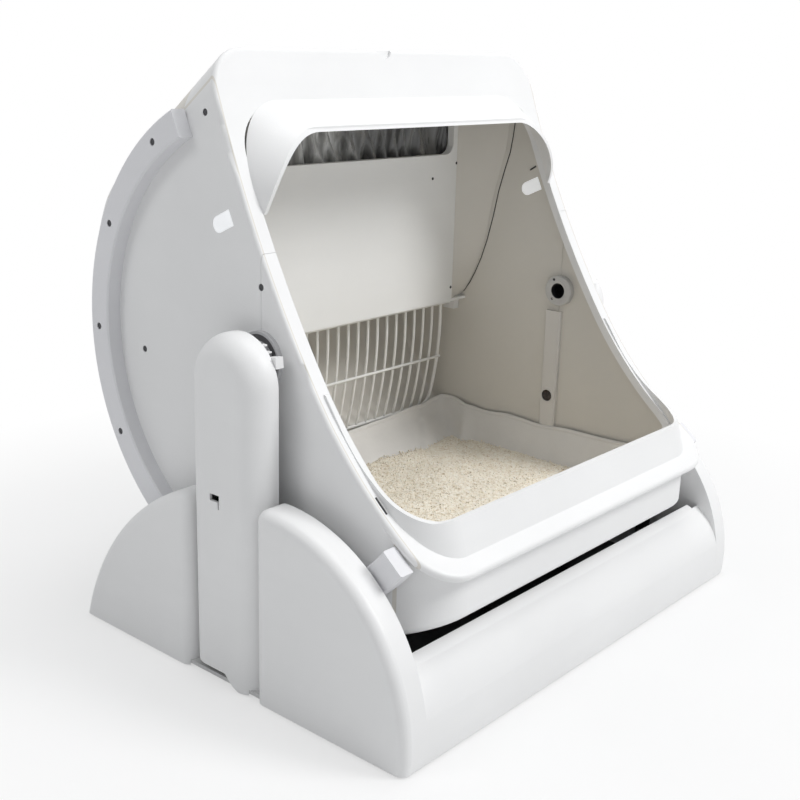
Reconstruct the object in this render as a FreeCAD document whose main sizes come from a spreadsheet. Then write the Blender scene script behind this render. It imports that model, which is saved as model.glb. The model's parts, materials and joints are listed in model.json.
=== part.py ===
import FreeCAD, Part
import math
import os
import re

import Sketcher
from FreeCAD import Placement, Rotation, Vector

os.makedirs("parts", exist_ok=True)
doc = FreeCAD.newDocument("litter_box")

# Frame: X across, -Y to the front, Z up from the floor. Everything is drawn about the drum's pivot
# line at Y = 0, and each piece's Placement then moves it so that the whole stands centred on the origin.

# Driving dimensions, in millimetres and degrees
DIMENSIONS = {
    # Drum
    "tower_depth": 32,
    "drum_clear": 17.5,
    "pivot_height": 322.5,
    "drum_radius": 269,
    "drum_half": 250.5,
    "wall": 3.9,
    "rim_round": 9,
    "crown_angle": 53,
    "crown_corner": 45,
    "bowl_front": 205,
    "bowl_corner": 60,
    "chin_height": 108,
    "seam_y": 1.5,
    "seam_gap": 0.4,
    # Flange round the open front
    "face_top_y": 75.5,
    "face_top_z": 602.5,
    "face_mid_y": -64,
    "face_mid_z": 308,
    "face_low_y": -213,
    "face_low_z": 165,
    "face_tilt": 33.5,
    "flange_thick": 9,
    "flange_round": 4,
    "flange_band": 18.5,
    "lip_reach": 10,
    "lip_corner": 50,
    "opening_low": 183,
    "opening_high": 266,
    "opening_corner": 46,
    "notch_radius": 12,
    # Entry hood
    "hood_flare": 18,
    "hood_top": 523.5,
    "hood_rise": 30,
    "hood_depth": 50,
    "hood_corner": 70,
    "hood_wall": 4,
    "hood_front": 10,
    # Splash collar
    "collar_front": 205,
    "collar_corner": 46,
    "collar_wall": 4.5,
    "collar_top": 203,
    "collar_lean": 0.32,
    # Rear module, bag and hatch
    "panel_y": 148,
    "panel_thick": 3,
    "floor_z": 290,
    "window_low": 478,
    "window_high": 530,
    "window_corner": 14,
    "window_border": 4,
    "frame_depth": 5,
    "bag_wall": 2.5,
    "hatch_low": 8,
    "hatch_high": 50,
    "hinge_radius": 3.5,
    "hinge_pin": 1.5,
    # Wire grille
    "grille_y": 168,
    "grille_z": 284,
    "grille_bend": 440,
    "grille_bend_z": 266,
    "grille_low": 142,
    "grille_bars": 26,
    "wire": 1.7,
    "rod": 2.2,
    "grille_hinge": 2.5,
    "clip_wide": 10,
    # Liner and litter
    "liner_gap": 1.2,
    "liner_thick": 3,
    "liner_top": 147,
    "liner_back": 181,
    "litter_top": 113,
    # Rails
    "rail_thick": 16,
    "rail_start": 64.5,
    "rail_end": -141,
    "rail_screws": 7,
    "screw_head": 3.2,
    # Hub, gears and bearing
    "hub_disc": 38,
    "hub_disc_thick": 5,
    "axle_radius": 18,
    "axle_bore": 15,
    "boss_radius": 25,
    "boss_thick": 8,
    "bearing_radius": 21,
    "running_fit": 0.05,
    "gear_module": 1.25,
    "gear_teeth": 34,
    "pinion_teeth": 14,
    "gear_face": 6,
    "backlash": 0.35,
    # Towers
    "tower_front": -40.3,
    "tower_round": 48,
    "tower_arch": 303,
    "frame_plate": 4,
    "cover_wall": 3,
    "cover_round": 25,
    "foot_z": 2,
    # Base covers and tray
    "flare_wall": 3.5,
    "flare_edge": 10,
    "front_y": -52,
    "front_z": 23,
    "front_radius": 176,
    "front_corner": 12,
    "rear_y": -42,
    "rear_z": -77,
    "rear_radius": 286,
    "rear_corner": 11,
    "tower_gap": 0.7,
    "tray_low": 4,
    "tray_thick": 4,
    "tray_front": -222.5,
    "tray_back": 227,
    # Rollers and latches
    "roller_radius": 12,
    "roller_wide": 13,
    "roller_gap": 0.3,
    "roller_pin": 3,
    "latch_travel": 6,
    "latch_gap": 0.3,
}

# Sizes that follow from the driving ones
DERIVED = {
    "tower_inner": "(drum_half + drum_clear)",
    "overall_width": "(2 * (tower_inner + tower_depth))",
    "flare_inner": "(tower_inner + 2)",
    "tray_half": "(tower_inner + 28)",
    "gear_start": "(tower_inner + 6)",
    "roller_start": "(drum_half + 1.5)",
    "collar_half": "(drum_half - 10.5)",
    "hood_half": "(drum_half - 22.5)",
    "hatch_half": "(drum_half - 25.5)",
    "panel_half": "(drum_half - 33.5)",
    "window_half": "(panel_half - 10)",
    "grille_half": "(drum_half - 30.5)",
    "rail_outer": "(drum_radius - 24)",
    "rail_inner": "(rail_outer - 28)",
}
sheet = doc.addObject("Spreadsheet::Sheet", "Dims")
for row, (alias, number) in enumerate(DIMENSIONS.items(), 1):
    sheet.set("A%d" % row, alias)
    sheet.set("B%d" % row, str(number))
    sheet.setAlias("B%d" % row, alias)
doc.recompute()

SHIFT = "(front_radius - front_y - drum_radius) / 2"
NODES = []


def spelled(text):
    """An expression with each size that follows from others written out in the sheet's own names."""
    text = str(text)
    longer = re.sub(r"[a-z_]+", lambda word: DERIVED.get(word.group(), word.group()), text)
    return text if longer == text else spelled(longer)


def dim(text):
    """The number that an expression of the sheet's names gives now."""
    return float(sheet.evalExpression(spelled(text)))


def link(text):
    """The same expression, as a reference to the sheet for setExpression."""
    return re.sub(r"[a-z_]+", lambda word: ("Dims." if word.group() in DIMENSIONS else "") + word.group(), spelled(text))


def bind(item, path, text):
    item.setExpression(path, link(text))


def node(item, label):
    """Gives a finished sub-part its name and its place in the frame."""
    item.Label = label
    bind(item, "Placement.Base.y", SHIFT)
    NODES.append(item)
    return item


# Sketched bodies

def draw(sketch, points):
    """A closed outline, counter-clockwise. Each point is (x, y) or (x, y, radius), where the radius bends
    the edge that leaves the point, outwards if positive and inwards if negative."""
    first = sketch.GeometryCount
    spots = [Vector(dim(point[0]), dim(point[1]), 0) for point in points]
    ends = []
    for index, point in enumerate(points):
        here, there = spots[index], spots[(index + 1) % len(points)]
        if len(point) == 2:
            sketch.addGeometry(Part.LineSegment(here, there), False)
            ends.append((1, 2))
            continue
        radius = dim(point[2])
        chord = there - here
        side = Vector(-chord.y, chord.x, 0).normalize() * math.copysign(1, radius)
        centre = (here + there) * 0.5 + side * math.sqrt(max(radius ** 2 - chord.Length ** 2 / 4, 0))
        angles = [math.atan2(spot.y - centre.y, spot.x - centre.x) for spot in (here, there)]
        if radius < 0:
            angles.reverse()
        circle = Part.Circle(centre, Vector(0, 0, 1), abs(radius))
        sketch.addGeometry(Part.ArcOfCircle(circle, angles[0], angles[1]), False)
        ends.append((1, 2) if radius > 0 else (2, 1))
    for index, point in enumerate(points):
        edge = first + index
        following = first + (index + 1) % len(points)
        start = ends[(index + 1) % len(points)][0]
        sketch.addConstraint(Sketcher.Constraint("Coincident", edge, ends[index][1], following, start))
        for kind, value, text in (("DistanceX", spots[index].x, point[0]), ("DistanceY", spots[index].y, point[1])):
            number = sketch.addConstraint(Sketcher.Constraint(kind, -1, 1, edge, ends[index][0], value))
            bind(sketch, "Constraints[%d]" % number, text)
        if len(point) == 3:
            size = str(point[2]).lstrip("-")
            number = sketch.addConstraint(Sketcher.Constraint("Radius", edge, dim(size)))
            bind(sketch, "Constraints[%d]" % number, size)


def ring(sketch, x, y, radius):
    """A circle round (x, y)."""
    edge = sketch.addGeometry(Part.Circle(Vector(dim(x), dim(y), 0), Vector(0, 0, 1), dim(radius)), False)
    for kind, text in (("DistanceX", x), ("DistanceY", y)):
        number = sketch.addConstraint(Sketcher.Constraint(kind, -1, 1, edge, 3, dim(text)))
        bind(sketch, "Constraints[%d]" % number, text)
    number = sketch.addConstraint(Sketcher.Constraint("Radius", edge, dim(radius)))
    bind(sketch, "Constraints[%d]" % number, radius)


def sketch_on(body, role, offset, outlines, circles):
    plane = next(item for item in body.Origin.OriginFeatures if item.Role == role)
    sketch = body.newObject("Sketcher::SketchObject", body.Name + "_outline")
    sketch.AttachmentSupport = [(plane, "")]
    sketch.MapMode = "FlatFace"
    bind(sketch, "AttachmentOffset.Base.z", offset)
    for outline in outlines:
        draw(sketch, outline)
    for circle in circles:
        ring(sketch, *circle)
    return sketch


def padded(name, offset, length, outlines, circles=(), role="YZ_Plane"):
    """A body with one pad that starts at offset from the plane."""
    body = doc.addObject("PartDesign::Body", name)
    sketch = sketch_on(body, role, offset, outlines, circles)
    pad = body.newObject("PartDesign::Pad", name + "_pad")
    pad.Profile = sketch
    bind(pad, "Length", length)
    doc.recompute()
    return body


def add_pad(body, offset, length, outlines, circles=(), role="YZ_Plane"):
    sketch = sketch_on(body, role, offset, outlines, circles)
    pad = body.newObject("PartDesign::Pad", body.Name + "_boss")
    pad.Profile = sketch
    bind(pad, "Length", length)
    doc.recompute()


def pocketed(body, offset, length, outlines, circles=(), role="YZ_Plane"):
    """Cuts the outlines from offset on, along the plane's normal, and makes sure that they do cut."""
    before = body.Shape.Volume
    sketch = sketch_on(body, role, offset, outlines, circles)
    pocket = body.newObject("PartDesign::Pocket", body.Name + "_pocket")
    pocket.Profile = sketch
    pocket.Reversed = True
    bind(pocket, "Length", length)
    doc.recompute()
    if body.Shape.Volume >= before - 0.5:
        raise RuntimeError(body.Name + ": a pocket cut nothing")


def rounded(body, radius, chosen):
    """Rounds the edges of the body that chosen() accepts."""
    base = body.Tip
    names = ["Edge%d" % number for number, edge in enumerate(base.Shape.Edges, 1) if chosen(edge)]
    fillet = body.newObject("PartDesign::Fillet", body.Name + "_round")
    fillet.Base = (base, names)
    bind(fillet, "Radius", radius)
    doc.recompute()


def bevelled(body, size, chosen):
    """Bevels the edges of the body that chosen() accepts."""
    base = body.Tip
    names = ["Edge%d" % number for number, edge in enumerate(base.Shape.Edges, 1) if chosen(edge)]
    chamfer = body.newObject("PartDesign::Chamfer", body.Name + "_bevel")
    chamfer.Base = (base, names)
    bind(chamfer, "Size", size)
    doc.recompute()


def at_x(value):
    """Picks the edges that lie in the plane X = value, without those along the floor side."""
    def chosen(edge):
        box = edge.BoundBox
        level = abs(box.XMin - value) < 0.01 and abs(box.XMax - value) < 0.01
        return level and box.ZMax > dim("foot_z") + 1
    return chosen


# Primitives and booleans

TURNS = {
    "X": Rotation(Vector(0, 1, 0), 90),
    "Y": Rotation(Vector(1, 0, 0), -90),
    "Z": Rotation(),
}


def place(item, spot):
    for axis, text in zip("xyz", spot):
        bind(item, "Placement.Base." + axis, text)


def block(name, low, size):
    item = doc.addObject("Part::Box", name)
    place(item, low)
    for side, text in zip(("Length", "Width", "Height"), size):
        bind(item, side, text)
    return item


def cylinder(name, axis, base, radius, length):
    item = doc.addObject("Part::Cylinder", name)
    item.Placement = Placement(Vector(), TURNS[axis])
    place(item, base)
    bind(item, "Radius", radius)
    bind(item, "Height", length)
    return item


def joined(name, items):
    item = doc.addObject("Part::MultiFuse", name)
    item.Shapes = list(items)
    item.Refine = True
    return item


def cut(name, base, *tools):
    item = doc.addObject("Part::Cut", name)
    item.Base = base
    item.Tool = tools[0] if len(tools) == 1 else joined(name + "_tools", tools)
    item.Refine = True
    return item


def group(name, items):
    item = doc.addObject("Part::Compound", name)
    item.Links = list(items)
    return item


def shaped(name, shape):
    """A sub-part whose free form is worked out from the sheet's values in this file."""
    item = doc.addObject("Part::Feature", name)
    item.Shape = shape
    return node(item, name)


# Free forms. A complex number is a point (Y, Z) measured from the pivot.

def spot(x, point):
    return Vector(x, point.real, point.imag + dim("pivot_height"))


def level(y, z):
    return complex(dim(y), dim(z) - dim("pivot_height"))


def unit(point):
    return point / abs(point)


def dot(one, two):
    return one.real * two.real + one.imag * two.imag


def polar(angle, radius=1.0):
    return complex(math.cos(math.radians(angle)), math.sin(math.radians(angle))) * radius


def tangent_circle(start, heading, end):
    """Centre and radius of the arc that leaves start along heading and ends at end."""
    left = heading * 1j
    chord = end - start
    radius = abs(chord) ** 2 / (2 * dot(left, chord))
    return start + left * radius, abs(radius)


def bow(centre, start, end):
    """The point half-way along the arc from start to end."""
    return centre + unit((start - centre) + (end - centre)) * abs(start - centre)


def crossing(normal, distance, centre, radius, near):
    """Where the line dot(normal, point) = distance meets a circle, close to a point."""
    drop = distance - dot(normal, centre)
    foot = centre + normal * drop
    reach = normal * 1j * math.sqrt(radius ** 2 - drop ** 2)
    return min((foot + reach, foot - reach), key=lambda point: abs(point - near))


def wire_of(points):
    """A closed wire from (point, middle) pairs, where a middle point makes the edge that follows an arc."""
    edges = []
    for index, (start, middle) in enumerate(points):
        end = points[(index + 1) % len(points)][0]
        if middle is None:
            edges.append(Part.LineSegment(start, end).toShape())
        else:
            edges.append(Part.Arc(start, middle, end).toShape())
    return Part.Wire(edges)


def prism(path, x_from, x_to):
    """A solid along X over a path of (point, middle) pairs in the YZ plane."""
    points = [(spot(x_from, point), None if middle is None else spot(x_from, middle)) for point, middle in path]
    return Part.Face(wire_of(points)).extrude(Vector(x_to - x_from, 0, 0))


def polygon(path, x_from, x_to):
    return prism([(point, None) for point in path], x_from, x_to)


def slab(x_from, x_to, y_from, y_to, z_from, z_to):
    return Part.makeBox(x_to - x_from, y_to - y_from, z_to - z_from, Vector(x_from, y_from, z_from))


def corner_cutters(half, corner, origin, outward, along, radius, start, length):
    """What is trimmed off both side corners: the edge at X = half and at corner, measured along outward
    from origin, is rounded to radius, along the direction along."""
    cutters = []
    for side in (-1, 1):
        def place_at(x, out):
            return spot(side * x, origin + outward * (corner + out) + along * start)
        inner = half - radius
        bend = radius * math.sqrt(0.5)
        points = [
            (place_at(inner, 0), place_at(inner + bend, bend - radius)),
            (place_at(half, -radius), None),
            (place_at(half + 8, -radius), None),
            (place_at(half + 8, 8), None),
            (place_at(inner, 8), None),
        ]
        move = Vector(0, along.real, along.imag) * length
        cutters.append(Part.Face(wire_of(points)).extrude(move))
    return cutters


FACE_TOP = level("face_top_y", "face_top_z")
FACE_MID = level("face_mid_y", "face_mid_z")
FACE_LOW = level("face_low_y", "face_low_z")
FACE_UP = polar(90 - dim("face_tilt"))
UPPER_CENTRE, UPPER_RADIUS = tangent_circle(FACE_MID, FACE_UP, FACE_TOP)
LOWER_CENTRE, LOWER_RADIUS = tangent_circle(FACE_MID, -FACE_UP, FACE_LOW)
CROWN = polar(dim("crown_angle"))
CROWN_RUN = CROWN * 1j
CHIN = level("-bowl_front", "chin_height")
KEEL_ANGLE = math.degrees(math.acos(dim("drum_radius") / abs(CHIN)))
KEEL = unit(CHIN) * polar(KEEL_ANGLE)
LIP_OUT = unit(LOWER_CENTRE - FACE_LOW)
LIP_RUN = LIP_OUT * 1j
if dot(LIP_RUN, complex(-1, 0)) < 0:
    LIP_RUN = -LIP_RUN


def face_path(behind):
    """The flange's front line from its top to its lip, moved behind its face, as points and middles."""
    radius = dim("drum_radius")
    top = crossing(CROWN, radius, UPPER_CENTRE, UPPER_RADIUS + behind, FACE_TOP)
    middle = FACE_MID - unit(UPPER_CENTRE - FACE_MID) * behind
    low = FACE_LOW - LIP_OUT * behind
    return top, bow(UPPER_CENTRE, top, middle), middle, bow(LOWER_CENTRE, middle, low), low


def drum_solid(inset, behind):
    """The drum's closed form moved in by inset, its open front behind the flange's face."""
    radius = dim("drum_radius") - inset
    half = dim("drum_half") - inset
    front = -dim("bowl_front") + inset
    top = crossing(CROWN, radius, UPPER_CENTRE, UPPER_RADIUS + behind, FACE_TOP)
    middle = FACE_MID - unit(UPPER_CENTRE - FACE_MID) * behind
    low = crossing(complex(-1, 0), -front, LOWER_CENTRE, LOWER_RADIUS + behind, FACE_LOW)
    chin = complex(front, (radius - KEEL.real * front) / KEEL.imag)
    keel = KEEL * radius
    crown = CROWN * radius
    path = [
        (top, bow(UPPER_CENTRE, top, middle)),
        (middle, bow(LOWER_CENTRE, middle, low)),
        (low, None),
        (chin, None),
        (keel, unit(keel + crown) * radius),
        (crown, None),
    ]
    solid = prism(path, -half, half)
    corner = dim("bowl_corner") - inset
    trims = corner_cutters(half, 0, complex(front, 0), complex(-1, 0), 1j, corner, -400, 800)
    solid = solid.cut(trims)

    def underside(edge):
        middle_point = edge.valueAt((edge.FirstParameter + edge.LastParameter) / 2)
        point = complex(middle_point.y, middle_point.z - dim("pivot_height"))
        on_rear = abs(abs(point) - radius) < 0.05
        on_keel = abs(dot(KEEL, point) - radius) < 0.05
        across = edge.BoundBox.XLength > half and edge.BoundBox.YLength < 0.01
        at_chin = abs(point - chin) < 0.5
        return (on_rear or on_keel) and (at_chin or not across)

    rim = max(dim("rim_round") - inset, 2)
    solid = solid.makeFillet(rim, [edge for edge in solid.Edges if underside(edge)])
    corner = dim("crown_corner") - inset * 1.1
    return solid.cut(corner_cutters(half, 0, crown, CROWN, CROWN_RUN, corner, -170, 360))


def sharp_edges(solid):
    """The edges where two faces meet at a clear angle."""
    found = []
    for edge in solid.Edges:
        point = edge.valueAt((edge.FirstParameter + edge.LastParameter) / 2)
        faces = solid.ancestorsOfType(edge, Part.Face)
        if len(faces) != 2:
            continue
        normals = [face.normalAt(*face.Surface.parameter(point)) for face in faces]
        if abs(normals[0].dot(normals[1])) < 0.7:
            found.append(edge)
    return found


def flange_plate():
    """The thick band that frames the drum's mouth and ends below in the overhanging lip."""
    half = dim("drum_half")
    thick = dim("flange_thick")
    reach = LIP_RUN * dim("lip_reach")
    top, upper, middle, lower, low = face_path(0)
    back_top, back_upper, back_middle, back_lower, back_low = face_path(thick)
    rise = CROWN * 12
    path = [
        (top + rise, None),
        (top, upper),
        (middle, lower),
        (low, None),
        (low + reach, None),
        (back_low + reach, None),
        (back_low, back_lower),
        (back_middle, back_upper),
        (back_top, None),
        (back_top + rise, None),
    ]
    plate = prism(path, -half, half)
    above = [CROWN * dim("drum_radius") + CROWN_RUN * run + CROWN * out
             for run, out in ((0, 0), (250, 0), (250, 60), (0, 60))]
    cutters = [polygon(above, -half - 10, half + 10)]
    crown = CROWN * dim("drum_radius")
    proud_corner = dim("crown_corner - 0.4")
    cutters += corner_cutters(half, 0, crown, CROWN, CROWN_RUN, proud_corner, -170, 360)
    cutters += corner_cutters(half, dim("lip_reach"), low, LIP_RUN, LIP_OUT, dim("lip_corner"), -60, 120)
    plate = plate.cut(cutters).removeSplitter()
    return plate.makeFillet(dim("flange_round"), sharp_edges(plate))


def in_front_of_face(behind=0.0):
    """Everything behind the flange's face, as a tool that trims what stands on it."""
    top, upper, middle, lower, low = face_path(behind)
    run = LIP_RUN * 60
    path = [
        (top + CROWN * 60, None),
        (top, upper),
        (middle, lower),
        (low, None),
        (low + run, None),
        (complex(250, (low + run).imag - 40), None),
        (complex(250, (top + CROWN * 60).imag), None),
    ]
    return prism(path, -300, 300)


# Drum shells

outer_form = drum_solid(0, dim("flange_thick") / 2).fuse(flange_plate()).removeSplitter()
cavity = drum_solid(dim("wall"), dim("flange_thick"))

mouth_half = dim("drum_half - flange_band")
face_out = unit(UPPER_CENTRE - FACE_MID)


def mouth_point(x, along, out):
    return spot(x, FACE_MID + FACE_UP * along + face_out * out)


mouth_low, mouth_high, mouth_bend = -dim("opening_low"), dim("opening_high"), dim("opening_corner")
bend_in = mouth_bend * (1 - math.sqrt(0.5))
mouth_points = [
    (mouth_point(-mouth_half + mouth_bend, mouth_low, -40), None),
    (mouth_point(mouth_half - mouth_bend, mouth_low, -40), mouth_point(mouth_half - bend_in, mouth_low + bend_in, -40)),
    (mouth_point(mouth_half, mouth_low + mouth_bend, -40), None),
    (mouth_point(mouth_half, mouth_high - mouth_bend, -40), mouth_point(mouth_half - bend_in, mouth_high - bend_in, -40)),
    (mouth_point(mouth_half - mouth_bend, mouth_high, -40), None),
    (mouth_point(-mouth_half + mouth_bend, mouth_high, -40), mouth_point(-mouth_half + bend_in, mouth_high - bend_in, -40)),
    (mouth_point(-mouth_half, mouth_high - mouth_bend, -40), None),
    (mouth_point(-mouth_half, mouth_low + mouth_bend, -40), mouth_point(-mouth_half + bend_in, mouth_low + bend_in, -40)),
]
mouth = Part.Face(wire_of(mouth_points)).extrude(Vector(0, face_out.real, face_out.imag) * 130)

# Small openings in the shells: axle holes, side windows, screw recesses, the finger notch, the hatch

WINDOW_CENTRE = level(54, 443.5)
WINDOW_RUN = polar(155)


def side_window(x_from, x_to, shrink):
    """A small pane, square at one end and round at the other, lying square to the flange."""
    half = 8 - shrink
    across = WINDOW_RUN * 1j * half
    square = WINDOW_CENTRE + WINDOW_RUN * (14 - shrink)
    bend = WINDOW_CENTRE - WINDOW_RUN * 6
    path = [
        (square + across, None),
        (bend + across, bend - WINDOW_RUN * half),
        (bend - across, None),
        (square - across, None),
    ]
    return prism(path, x_from, x_to)


SHELL_SCREWS = [level(75.5, 542), level(1.4, 390), level(177, 300)]
half = dim("drum_half")
openings = [mouth]
for side in (-1, 1):
    x_out = side * (half + 1)
    x_in = side * (half - dim("wall") - 1)
    low, high = min(x_out, x_in), max(x_out, x_in)
    openings.append(side_window(low, high, 0))
    openings.append(Part.makeCylinder(dim("axle_radius + running_fit"), high - low, spot(low, 0), Vector(1, 0, 0)))
    for screw in SHELL_SCREWS:
        start = spot(side * (half - 1.5), screw)
        openings.append(Part.makeCylinder(dim("screw_head") + 0.2, 4, start, Vector(side, 0, 0)))
notch_out = unit(UPPER_CENTRE - FACE_TOP)
notch_start = FACE_TOP - notch_out * 3.5
notch_axis = Vector(0, notch_out.real, notch_out.imag)
openings.append(Part.makeCylinder(dim("notch_radius"), 30, spot(-8, notch_start), notch_axis))


def sector(inner, outer, low, high, x_from, x_to):
    """A curved plate between two radii and two angles round the pivot."""
    middle = (low + high) / 2
    path = [
        (polar(low, outer), polar(middle, outer)),
        (polar(high, outer), None),
        (polar(high, inner), polar(middle, inner)),
        (polar(low, inner), None),
    ]
    return prism(path, x_from, x_to)


HINGE = polar(dim("hatch_low"), dim("drum_radius - wall"))
hinge_drop = math.degrees(5 / dim("drum_radius"))
hatch_low = dim("hatch_low")
hatch_high = dim("hatch_high")
hatch_half = dim("hatch_half")
openings.append(sector(250, 280, hatch_low - hinge_drop, hatch_high, -hatch_half, hatch_half))
shell = outer_form.cut(cavity).cut(openings)

lugs = []
for side in (-1, 1):
    start = spot(side * (hatch_half - 8), HINGE)
    lug = Part.makeCylinder(dim("hinge_radius"), 11, start, Vector(side, 0, 0))
    hole = Part.makeCylinder(dim("hinge_pin"), 5, start, Vector(side, 0, 0))
    lugs.append(lug.cut(hole))
half_gap = dim("seam_gap") / 2
front_half = slab(-300, 300, -300, dim("seam_y") - half_gap, 0, 700)
rear_half = slab(-300, 300, dim("seam_y") + half_gap, 300, 0, 700)
shaped("drum_front_shell", shell.common(front_half))
shaped("drum_rear_shell", shell.common(rear_half).fuse(lugs).removeSplitter())

# Entry hood


def hood_section(y, half, top, corner, foot):
    """A U turned over, drawn at one depth, as the closed outline of the hood's wall."""
    wall = dim("hood_wall")
    points = []
    for inset, side in ((0, 1), (wall, -1)):
        width, height, bend = half - inset, top - inset, corner - inset
        drop = bend * (1 - math.sqrt(0.5))
        row = [
            (Vector(-side * width, y, foot), None),
            (Vector(-side * width, y, height - bend), Vector(-side * (width - drop), y, height - drop)),
            (Vector(-side * (width - bend), y, height), None),
            (Vector(side * (width - bend), y, height), Vector(side * (width - drop), y, height - drop)),
            (Vector(side * width, y, height - bend), None),
            (Vector(side * width, y, foot), None),
        ]
        points += row
    return wire_of(points)


hood_near = hood_section(dim("hood_front") - 4, dim("hood_half"), dim("hood_top"), dim("hood_corner"), 400)
hood_far = hood_section(dim("hood_front + hood_depth"), dim("hood_half + hood_flare"), dim("hood_top + hood_rise"),
                        dim("hood_corner"), 400)
hood = Part.makeLoft([hood_near, hood_far], True, True)
lip_low, lip_front, lip_top = level(21, 446), level(9, 489), level(17.5, 528)
keep = [(lip_low, lip_front), (lip_top, None), (level(17.5, 640), None), (level(160, 640), None), (level(160, 446), None)]
hood_keep = []
for index, (point, middle) in enumerate(keep):
    end = keep[(index + 1) % len(keep)][0]
    hood_keep.append((spot(-300, point), None if middle is None else spot(-300, middle)))
hood_block = Part.Face(wire_of(hood_keep)).extrude(Vector(dim("overall_width"), 0, 0))
shaped("entry_hood", hood.common(hood_block).cut(in_front_of_face()))

# Splash collar


def collar_face(inset, z):
    """The collar's U seen from above, its back open, moved in by inset."""
    width = dim("collar_half") - inset
    front = -dim("collar_front") + inset
    bend = dim("collar_corner") - inset
    drop = bend * (1 - math.sqrt(0.5))
    back = -20
    return [
        (Vector(-width, back, z), None),
        (Vector(-width, front + bend, z), Vector(-width + drop, front + drop, z)),
        (Vector(-width + bend, front, z), None),
        (Vector(width - bend, front, z), Vector(width - drop, front + drop, z)),
        (Vector(width, front + bend, z), None),
        (Vector(width, back, z), None),
    ]


collar_base = 170.5 - 40
lean = dim("collar_lean")
collar_rise = Vector(0, lean, 1) * 170
outer_u = Part.Face(wire_of(collar_face(0, collar_base))).extrude(collar_rise)
inner_u = Part.Face(wire_of(collar_face(dim("collar_wall"), collar_base))).extrude(collar_rise)
inner_u.translate(Vector(0, 4, 0))
collar = outer_u.cut(Part.Face(wire_of(collar_face(dim("collar_wall"), collar_base))).extrude(collar_rise))
collar.translate(Vector(0, -40 * lean, 0))
rim_top = dim("collar_top")
rim = [
    (level(-260, rim_top), None),
    (level(-186, rim_top), level(-141, rim_top + 22)),
    (level(-96, rim_top + 64), None),
    (level(-20, rim_top + 170), None),
    (level(-20, 500), None),
    (level(-260, 500), None),
]
collar = collar.cut(prism(rim, -300, 300)).cut(in_front_of_face())
shaped("splash_collar", max(collar.Solids, key=lambda solid: solid.Volume))

# Rear module: panel with the waste window, wings to the side walls, floor of the bag compartment

clear = dim("wall") + 0.3
inside = drum_solid(clear, dim("flange_thick") + 0.3)
panel_y, panel_thick, floor_z = dim("panel_y"), dim("panel_thick"), dim("floor_z")
panel_half = dim("panel_half")
wing_line = [(165, 290), (151, 299), (134, 326), (117, 370), (102, 435), (87.5, 483), (82, 523), (79, 560)]
panel_edge = panel_half - 0.1
panel_sheet = slab(-panel_edge, panel_edge, panel_y, panel_y + panel_thick, floor_z, 600)
panel_floor = slab(-half, half, panel_y, 300, floor_z, floor_z + panel_thick)
below_floor = slab(-300, 300, -300, 300, 0, floor_z + panel_thick)
wings = []
for side in (-1, 1):
    crease = Part.LineSegment(Vector(side * panel_half, panel_y, floor_z), Vector(side * panel_half, panel_y, 560))
    curve = Part.BSplineCurve()
    curve.interpolate([Vector(side * half, y, z) for y, z in wing_line])
    wing = Part.makeRuledSurface(crease.toShape(), curve.toShape())
    wings.append(wing.extrude(Vector(side * 1.2, 3.5, 0)).common(inside).cut(below_floor))
shaped("panel_wings", Part.makeCompound(wings))


def window_face(grow, y):
    """The waste window's outline, grown by grow."""
    width = dim("window_half") + grow
    low, high = dim("window_low") - grow, dim("window_high") + grow
    bend = dim("window_corner") + grow
    drop = bend * (1 - math.sqrt(0.5))
    points = [
        (Vector(-width + bend, y, low), None),
        (Vector(width - bend, y, low), Vector(width - drop, y, low + drop)),
        (Vector(width, y, low + bend), None),
        (Vector(width, y, high - bend), Vector(width - drop, y, high - drop)),
        (Vector(width - bend, y, high), None),
        (Vector(-width + bend, y, high), Vector(-width + drop, y, high - drop)),
        (Vector(-width, y, high - bend), None),
        (Vector(-width, y, low + bend), Vector(-width + drop, y, low + drop)),
    ]
    return Part.Face(wire_of(points))


border = window_face(dim("window_border"), panel_y - 1.5).extrude(Vector(0, 3, 0))
window = window_face(0, panel_y - 10).extrude(Vector(0, 30, 0))
panel = panel_sheet.fuse([panel_floor, border]).common(inside).cut(window).removeSplitter()
shaped("rear_panel", max(panel.Solids, key=lambda solid: solid.Volume))

frame_y = panel_y + panel_thick
frame_depth = dim("frame_depth")
bag_frame = window_face(8, frame_y).extrude(Vector(0, frame_depth, 0)).cut(window).common(inside)
shaped("bag_frame", max(bag_frame.Solids, key=lambda solid: solid.Volume))

# Waste bag: a pouch that hangs from the bag frame into the compartment

bag_y = frame_y + frame_depth
bag_wall = dim("bag_wall")


def bag_form(inset):
    room = Part.makeCylinder(dim("drum_radius - wall") - 7 - inset, 2 * dim("drum_half"), spot(-dim("drum_half"), 0), Vector(1, 0, 0))
    wide = dim("window_half + 6") - inset
    return slab(-wide, wide, bag_y + inset, 300, floor_z + panel_thick + 1 + inset, 532 - inset).common(room)


bag_mouth = window_face(-4, bag_y - 5).extrude(Vector(0, 12, 0))
shaped("waste_bag", bag_form(0).cut(bag_form(bag_wall)).cut(bag_mouth))

# Rear hatch over the bag, hinged along its lower edge

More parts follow.
